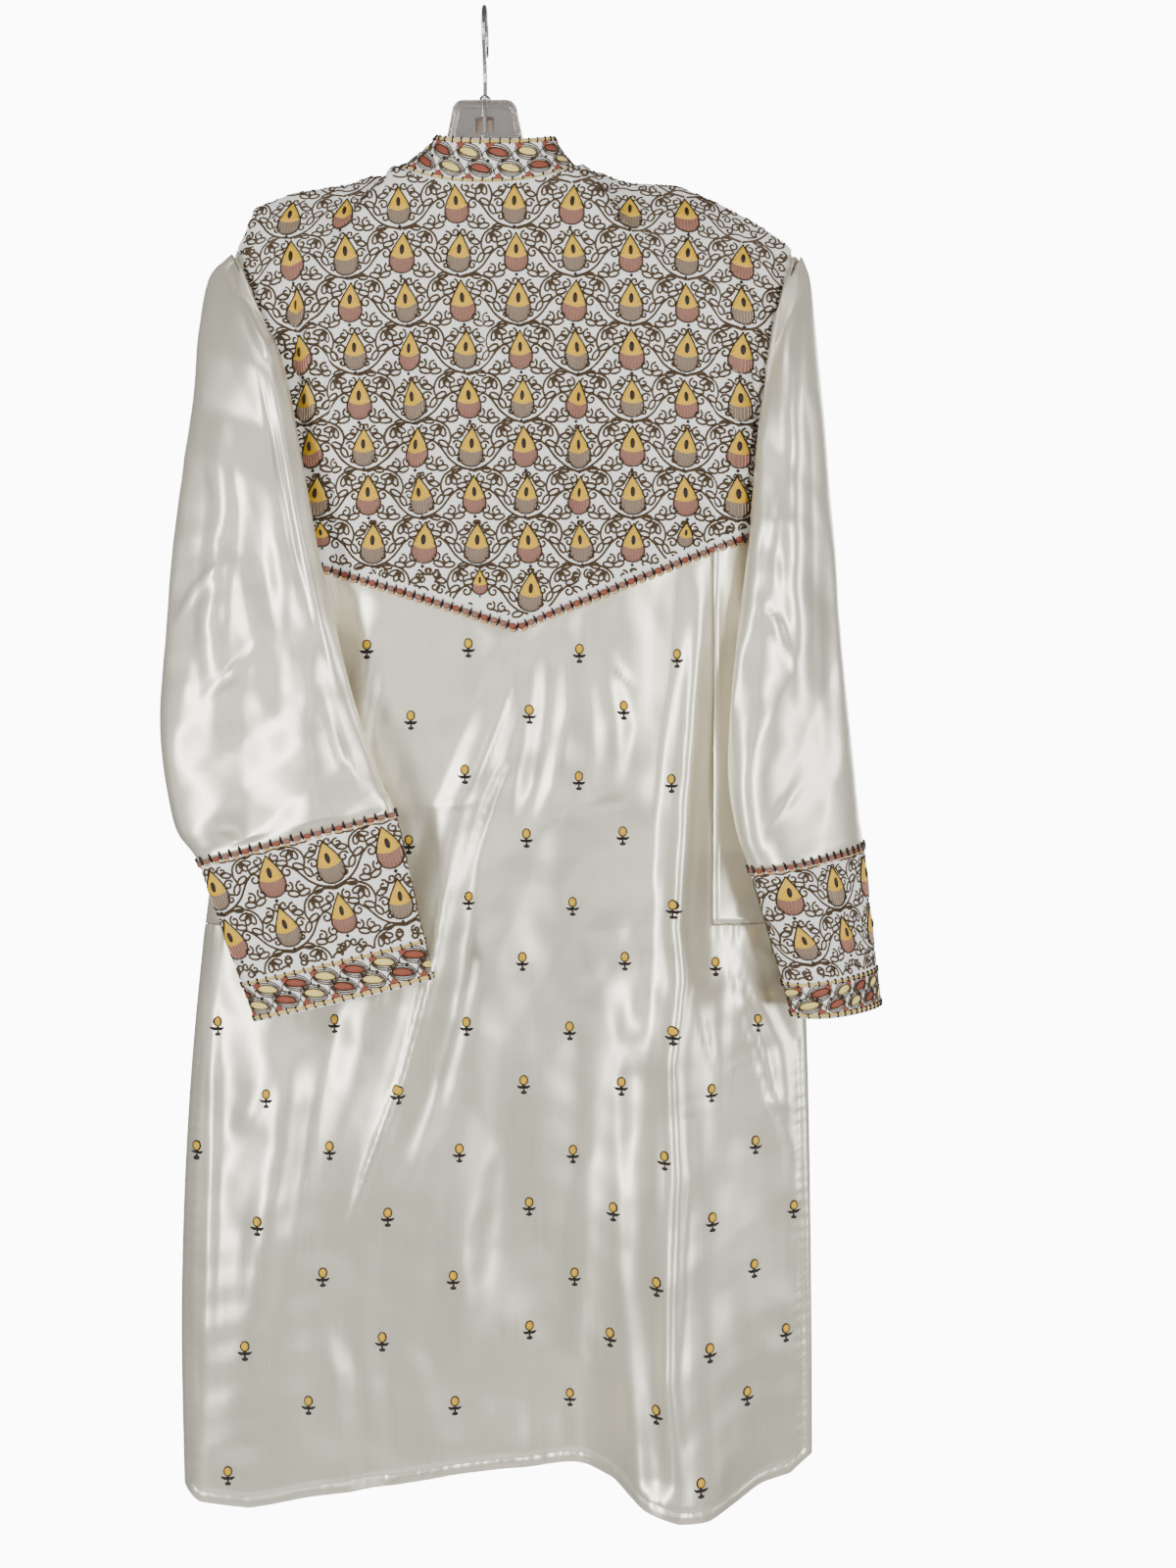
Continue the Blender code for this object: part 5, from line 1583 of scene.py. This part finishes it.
# The cuff, in metres down from its seam: its field of drops from and to, the field's second
# row and row pitch, its upper and lower braid, its leaves' middle, and its knots.
CUFF_FIELD, CUFF_ROW, CUFF_ROW_PITCH = (0.0050, 0.0925), 0.0250, 0.0370
CUFF_BRAIDS, CUFF_LEAVES, CUFF_KNOTS = (0.0962, 0.1222), 0.1092, 0.0010
# The collar's two braids and its leaves' middle, in metres down from its top.
COLLAR_BRAIDS, COLLAR_LEAVES = (0.0020, 0.0320), 0.0170
# How far the placket's two braids lie from its middle.
PLACKET_BRAID = 0.0132


class KURTA_OT_cuff_work(bpy.types.Operator):
    """Embroider the cuffs with drops, scrolls and a leaf border, and trim their seams"""

    bl_idname = "kurta.cuff_work"
    bl_label = "Cuff embroidery"

    def execute(self, context):
        for key in ARMS:
            place, girth = cuff_place(key)
            count = int(round(girth / CUFF_DROP_PITCH))
            pitch = girth / count

            def spot_of(column, row, pitch=pitch):
                """Where one drop of the cuff's rows lies."""
                return spot_at(((column + 0.5) * pitch, CUFF_ROW + row * CUFF_ROW_PITCH))

            work = Stitching(lambda flat: (flat[:, 1] > CUFF_FIELD[0]) & (flat[:, 1] < CUFF_FIELD[1]))
            fill_with_drops(work, range(count), (-1, 0, 1, 2), spot_of)
            work.inside = None
            for down, width in zip(CUFF_BRAIDS, (2.6, 3.2)):
                edge_braid(work, girth, spot_at((0.0, down)), width)
            leaf_border(work, girth, spot_at((0.0, CUFF_LEAVES)), 11.4)
            outward = -1 if key == "right" else 1
            work.set_on(f"cuff_{key}_embroidery", place, outward)
            trim = Stitching()
            knot_trim(trim, girth, spot_at((0.0, CUFF_KNOTS)), high=6.4, low=-3.4)
            trim.set_on(f"cuff_{key}_trim", place, outward)
        return {"FINISHED"}


class KURTA_OT_collar_work(bpy.types.Operator):
    """Embroider the collar and edge the placket"""

    bl_idname = "kurta.collar_work"
    bl_label = "Collar embroidery"

    def execute(self, context):
        place, girth = collar_place()
        work = Stitching()
        reach = girth - 2 * TRIM_INSET
        for down in COLLAR_BRAIDS:
            edge_braid(work, reach, spot_at((TRIM_INSET, down)), 3.0)
        work.inside = lambda flat: (flat[:, 0] > TRIM_INSET) & (flat[:, 0] < girth - TRIM_INSET)
        leaf_border(work, reach, spot_at((TRIM_INSET, COLLAR_LEAVES)), 13.4)
        work.set_on("collar_embroidery", place, 1)
        strip = Stitching()
        for across in (-PLACKET_BRAID, PLACKET_BRAID):
            spot = spot_at((across, PLACKET_TOP + TRIM_INSET), (0.0, 1.0), (1.0, 0.0))
            edge_braid(strip, PLACKET_END - PLACKET_TOP - 2 * TRIM_INSET, spot, 2.6)
        strip.set_on("placket_braid", over_placket(LAP), 1)
        return {"FINISHED"}


def over_placket(lift):
    """The surface that lies a height above the placket's."""
    return lambda across, down: on_cloth(placket_place, 1, across, down, np.full(np.shape(across), lift))


def sprig(work):
    """A small sprig: a gold oval with a dark outline, a bar below it, a stem and a foot."""
    c = colours()
    oval = dot_outline(1.0, 12) * (2.9, 3.5) + (0.0, 3.6)
    work.patch(oval, c.gold, 1.0, rim=c.cream)
    work.line(closed_path(oval), 1.3, c.brown, height=1.1)
    bar = curve((-5.2, -0.6), (-2.4, -2.0), (0, -1.4), (2.4, -2.0), (5.2, -0.6), count=9)
    work.line(bar, 2.5, c.black, height=1.1, taper=True)
    work.line([(0, 0.2), (0, -2.4), (0.2, -5.0)], 1.5, c.black, height=1.0)
    work.patch(dot_outline(1.0) * (2.6, 1.5) + (0.1, -5.8), c.black, 0.9)


# The middle column's first sprig, as x and down, how the columns spread below it on the left
# and on the right, and how far sprigs stay from the yoke's seam, the hem and the sides.
SPRIG_START = (0.0338, 0.4640)
SPRIG_SPREAD = (0.60, -0.25)
SPRIG_BELOW_SEAM, SPRIG_ABOVE_HEM, SPRIG_FROM_SIDE = 0.012, 0.016, 0.008


class KURTA_OT_sprigs(bpy.types.Operator):
    """Scatter the small sprigs over the silk below the yoke in staggered rows"""

    bl_idname = "kurta.sprigs"
    bl_label = "Sprigs"

    def execute(self, context):
        s = sizes()
        for side, name in ((-1, "back"), (1, "front")):
            work = Stitching()
            for row in range(int((HEM_BLEND_END - SPRIG_START[1]) / s.sprig_rows) + 1):
                for column in range(-5, 6):
                    down = SPRIG_START[1] + row * s.sprig_rows
                    place = column + 0.5 * (row % 2)
                    spread = SPRIG_SPREAD[place >= 0] * (down - SPRIG_START[1])
                    x = SPRIG_START[0] + place * s.sprig_across * (1 + spread)
                    down += 0.004 * np.sin(5 * column + 3 * row)
                    x += 0.003 * np.sin(3 * column + 7 * row)
                    low, high = SIDE_SEAM_LEFT, SIDE_SEAM_RIGHT
                    if down > GATHER_DOWN + 0.01:
                        low, high = edge_x(down, 0), edge_x(down, 1)
                    low_end = hem_down(side, x) - SPRIG_ABOVE_HEM
                    in_height = seam_down(x) + SPRIG_BELOW_SEAM < down < low_end
                    if in_height and low + SPRIG_FROM_SIDE < x < high - SPRIG_FROM_SIDE:
                        work.spot = spot_at((x, down))
                        sprig(work)
            work.set_on(f"sprigs_{name}", panel_place(side), side)
        return {"FINISHED"}


# The hem's and slits' stitches: the places along one, its pitch, its width and height in
# millimetres, the hem's first and last x, and the slits' end.
HEM_STITCH, HEM_STITCH_PITCH = (0.0, 0.0013, 0.0026), 0.0042
HEM_STITCH_WIDTH, HEM_STITCH_HEIGHT = 0.55, 0.15
HEM_LEFT, HEM_RIGHT, SLIT_END = -0.218, 0.246, 1.125


class KURTA_OT_hem_stitches(bpy.types.Operator):
    """Sew the hems and the slits with short stitches"""

    bl_idname = "kurta.hem_stitches"
    bl_label = "Hem stitches"

    def execute(self, context):
        pale = shade(colours().silk, 0.80)[:3]
        for side, name in ((-1, "back"), (1, "front")):
            work = Stitching()
            work.spot = spot_at((0.0, 0.0))
            paths = []
            for x in np.arange(HEM_LEFT, HEM_RIGHT, HEM_STITCH_PITCH):
                ends = x + np.array(HEM_STITCH)
                paths.append(joined(ends, HEM_WIDTH - hem_down(side, ends)))
            for down in np.arange(SLIT_DOWN, SLIT_END, HEM_STITCH_PITCH):
                ends = down + np.array(HEM_STITCH)
                for x in (edge_x(ends, 0) + HEM_WIDTH, edge_x(ends, 1) - HEM_WIDTH):
                    paths.append(joined(x, -ends))
            for path in paths:
                work.line(path * 1000, HEM_STITCH_WIDTH, pale, height=HEM_STITCH_HEIGHT)
            work.set_on(f"hem_stitches_{name}", panel_place(side), side)
        return {"FINISHED"}


def turned_piece(name, profile, sides, centre, out, beside, finish, sharp):
    """A profile of radius and height turned round an axis through a centre along `out`."""
    first = unit(np.cross(out, beside))
    angle = np.linspace(0, 2 * np.pi, sides, endpoint=False)
    ring = np.cos(angle)[:, None] * first + np.sin(angle)[:, None] * np.cross(out, first)
    profile = np.array(profile)
    points = centre + profile[:, :1, None] * ring + profile[:, 1:, None] * np.asarray(out)
    mesh = new_mesh(name, points, ring_faces(len(profile), sides))
    settle_normals(mesh)
    return add_piece(mesh, finish, sharp)


class KURTA_OT_buttons(bpy.types.Operator):
    """Make the dished buttons, with black dots of painted shade for their holes, and their thread"""

    bl_idname = "kurta.buttons"
    bl_label = "Buttons"

    def execute(self, context):
        radius, half = BUTTON_RADIUS, BUTTON_THICK / 2
        rim = np.linspace(-np.pi / 2, np.pi / 2, 7)
        profile = [(0.0, -half), (radius * 0.8, -half)]
        profile += [(radius - half * 0.8 + half * 0.8 * np.cos(a), half * 0.8 * np.sin(a)) for a in rim]
        profile += [(radius * 0.74, half), (radius * 0.66, half * 0.55), (radius * 0.5, half * 0.35)]
        profile.append((0.0, half * 0.3))
        work = Stitching()
        pale, dark = shade(colours().cream, 0.8)[:3], colours().black
        step = 0.002
        for number in range(BUTTON_COUNT):
            at = BUTTON_FIRST + BUTTON_PITCH * number
            across = np.array([0.0, -step, step, 0.0, 0.0])
            centre, left, right, below, above = placket_place(across, at + across[[0, 0, 0, 2, 1]])
            out = unit(np.cross(above - below, right - left))
            centre = centre + out * (LAP + CLOTH + SEAM_GAP + half)
            piece = turned_piece(
                f"pearl_button_{number + 1}", profile, sizes().sides, centre, out, (0.0, 0.0, 1.0),
                "button_shell", 50)
            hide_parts(f"button_{number + 1}")
            work.spot = spot_at((0.0, at))
            # Each button's four holes are black dots on its face: painted shade, not cut through.
            for x, y in ((-1.3, -1.3), (1.3, -1.3), (-1.3, 1.3), (1.3, 1.3)):
                work.patch(dot_outline(0.65) + (x, y), dark, 0.05)
            for way in (-1, 1):
                work.line([(-1.3, -1.3 * way), (0, 0), (1.3, 1.3 * way)], 0.7, pale, height=0.5)
        work.set_on("button_thread", over_placket(LAP + SEAM_GAP + BUTTON_THICK * 0.62), 1)
        return {"FINISHED"}


def plate_outline(inset=0.0):
    """The hanger plate's outline, from its left foot over its round-cornered top to its right foot."""
    corner = np.linspace(0, np.pi / 2, 9)
    radius = PLATE_CORNER - inset
    half_top, half_end = PLATE_HALF_TOP - inset, PLATE_HALF_END - inset
    right = joined(
        half_top - radius + radius * np.cos(corner),
        -PLATE_TOP - inset - radius + radius * np.sin(corner),
    )
    half = np.concatenate([np.linspace((half_end, -PLATE_END), right[0], 12)[:-1], right])
    return np.concatenate([half, half[::-1] * (-1, 1)])


class KURTA_OT_hanger(bpy.types.Operator):
    """Finish the hanger: its clear body, raised rims, hook and the hook's socket"""

    bl_idname = "kurta.hanger"
    bl_label = "Hanger"

    def execute(self, context):
        for node, finish in (("hanger_body", "hanger_clear"), ("hanger_hook", "plated_wire")):
            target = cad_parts[node]
            target.data.materials.clear()
            target.data.materials.append(finish_of(finish))
        for number, (inset, radius) in enumerate(((0.0012, 0.0011), (0.0046, 0.0007))):
            for face, name in ((-1, "back"), (1, "front")):
                self.rim(f"plate_rim_{number + 1}_{name}", face, inset, radius)
        # A dark pane of painted shade in the plate's window.
        self.painted_shade_pane()
        profile = [
            (WIRE_RADIUS, 0.0), (0.0042, 0.0), (0.0046, 0.0006), (0.0046, 0.0030), (0.0040, 0.0040),
            (0.0030, 0.0048), (WIRE_RADIUS, 0.0050), (WIRE_RADIUS, 0.0),
        ]
        turned_piece(
            "hook_socket", profile, 32, (0.0, 0.0, -PLATE_TOP - 0.0006), (0.0, 0.0, 1.0), (0.0, -1.0, 0.0),
            "plated_wire", 40)
        return {"FINISHED"}

    def rim(self, name, face, inset, radius):
        """A round rim on one face of the plate, along its outline."""
        angle = np.linspace(0, 2 * np.pi, 8, endpoint=False)
        path = plate_outline(inset)
        along = np.gradient(path, axis=0)
        across = unit(joined(-along[:, 1], along[:, 0]))
        x = path[:, :1] + across[:, :1] * radius * np.cos(angle)
        z = path[:, 1:] + across[:, 1:] * radius * np.cos(angle)
        points = joined(x, face * PLATE_THICK / 2 + radius * np.sin(angle), z)
        last = (len(path) - 1) * 8
        faces = ring_faces(len(path), 8) + [list(range(8)), list(range(last, last + 8))]
        mesh = new_mesh(name, points, faces)
        settle_normals(mesh)
        add_piece(mesh, "hanger_clear")

    def painted_shade_pane(self):
        """A dark pane recessed in the plate's window, painted shade for the shadow seen through it, dished
        by a cosine each way.
        """
        share = np.linspace(-1, 1, 9)
        across, up = np.meshgrid(share, -share)
        middle, half = -(WINDOW_TOP + WINDOW_END) / 2, (WINDOW_END - WINDOW_TOP) / 2
        dish = np.cos(np.pi * across / 2) * np.cos(np.pi * up / 2)
        points = joined(WINDOW_HALF * across, 0.0010 + 0.0004 * dish, middle + half * up)
        mesh = new_mesh("plate_shade_pane", points, grid_faces(9, 9)[:, [0, 3, 2, 1]].tolist())
        add_piece(mesh, "window_painted_shade", wall=0.0012)


CAMERA_PLACE = (0.0814, -1.25, -0.6105)
CAMERA_FOCAL_PIXELS, PHOTO_HEIGHT, SENSOR = 1612.9, 1600, 36.0
FLOOR_DOWN, FLOOR_HALF = 2.25, 2.0
# The soft lamps: place, width and height, and power. They all aim at one point.
LAMP_AIM = (0.03, 0.0, -0.6)
LAMPS = (
    ("strip_left", (-1.30, -1.70, -0.42), (0.16, 1.8), 42.0),
    ("strip_middle", (-0.20, -2.30, -0.30), (0.07, 1.8), 5.0),
    ("strip_right", (1.10, -1.95, -0.42), (0.12, 1.8), 36.0),
    ("low_left", (-1.9, -0.7, -0.35), (0.30, 1.7), 2.0),
    ("low_right", (1.9, -0.35, -0.45), (0.30, 1.7), 20.0),
    ("above", (-0.3, -1.2, 1.1), (1.0, 0.4), 8.0),
    ("rear_left", (-1.3, 1.9, 0.2), (0.4, 1.7), 34.0),
    ("rear_right", (1.4, 1.7, -0.2), (0.4, 1.7), 22.0),
)


class KURTA_OT_stage(bpy.types.Operator):
    """Set up the pale floor, the soft lights and the camera"""

    bl_idname = "kurta.stage"
    bl_label = "Stage"

    def execute(self, context):
        scene = bpy.context.scene
        x, y = np.meshgrid(*[np.linspace(-FLOOR_HALF, FLOOR_HALF, 13)] * 2)
        mesh = new_mesh("floor", joined(x, y, -FLOOR_DOWN), grid_faces(13, 13).tolist())
        paint = Finish("floor_paint", {})
        grain = paint.noise(paint.node("ShaderNodeTexCoord", {}, {}, 3), (3.0, 3.0, 3.0))
        tone = paint.mix(grain, (0.88, 0.88, 0.87, 1.0), (0.92, 0.92, 0.91, 1.0))
        link(mesh, paint.show(tone, 0.9))
        self.world(scene)
        for name, where, size, power in LAMPS:
            light = bpy.data.lights.new(name, "AREA")
            light.shape = "RECTANGLE"
            light.size, light.size_y, light.energy = *size, power
            lamp = self.place(scene, name, light, where)
            lamp.rotation_euler = (Vector(LAMP_AIM) - Vector(where)).to_track_quat("-Z", "Y").to_euler()
        view = bpy.data.cameras.new("camera")
        view.sensor_width = SENSOR
        view.lens = CAMERA_FOCAL_PIXELS * SENSOR / PHOTO_HEIGHT
        view.clip_start = 0.02
        scene.camera = self.place(scene, "camera", view, CAMERA_PLACE)
        scene.camera.rotation_euler = (np.pi / 2, 0.0, 0.0)
        return {"FINISHED"}

    def place(self, scene, name, data, where):
        """A lamp or a camera at its place."""
        made = bpy.data.objects.new(name, data)
        made.location = where
        scene.collection.objects.link(made)
        return made

    def world(self, scene):
        """A dim world that looks white to the camera, and pale through clear plastic."""
        world = bpy.data.worlds.new("studio")
        world.use_nodes = True
        nodes, links = world.node_tree.nodes, world.node_tree.links
        rays, shown = nodes.new("ShaderNodeLightPath"), nodes["Background"].outputs[0]
        nodes["Background"].inputs["Color"].default_value = (0.95, 0.97, 1.0, 1.0)
        nodes["Background"].inputs["Strength"].default_value = 0.13
        for ray, strength in (("Is Transmission Ray", 0.32), ("Is Camera Ray", 14.0)):
            white, blend = nodes.new("ShaderNodeBackground"), nodes.new("ShaderNodeMixShader")
            white.inputs["Strength"].default_value = strength
            links.new(rays.outputs[ray], blend.inputs[0])
            links.new(shown, blend.inputs[1])
            links.new(white.outputs[0], blend.inputs[2])
            shown = blend.outputs[0]
        links.new(shown, nodes["World Output"].inputs["Surface"])
        scene.world = world


PIECE_STEPS = (
    KURTA_OT_yokes,
    KURTA_OT_panels,
    KURTA_OT_sleeves,
    KURTA_OT_collar,
    KURTA_OT_yoke_work,
    KURTA_OT_cuff_work,
    KURTA_OT_collar_work,
    KURTA_OT_sprigs,
    KURTA_OT_hem_stitches,
    KURTA_OT_buttons,
    KURTA_OT_hanger,
    KURTA_OT_stage,
)


class KURTA_PT_panel(bpy.types.Panel):
    """Lists the kurta's sizes, colours and steps"""

    bl_label = "Kurta"
    bl_idname = "KURTA_PT_panel"
    bl_space_type = "VIEW_3D"
    bl_region_type = "UI"
    bl_category = "Kurta"

    def draw(self, context):
        for group in (context.scene.kurta_sizes, context.scene.kurta_colours):
            for name in type(group).__annotations__:
                self.layout.prop(group, name)
        for step in PIECE_STEPS:
            self.layout.operator(step.bl_idname)


CLASSES = (KurtaColours, KurtaSizes, *PIECE_STEPS, KURTA_PT_panel)


def register():
    """Make the operators, the panel and the scene's settings known to Blender."""
    for kind in CLASSES:
        bpy.utils.register_class(kind)
    bpy.types.Scene.kurta_colours = PointerProperty(type=KurtaColours)
    bpy.types.Scene.kurta_sizes = PointerProperty(type=KurtaSizes)


def unregister():
    """Take away what register() made known."""
    del bpy.types.Scene.kurta_sizes
    del bpy.types.Scene.kurta_colours
    for kind in reversed(CLASSES):
        bpy.utils.unregister_class(kind)


def main():
    """Makes every piece."""
    register()
    for step in PIECE_STEPS:
        group, name = step.bl_idname.split(".")
        getattr(getattr(bpy.ops, group), name)()


if __name__ == "__main__":
    main()
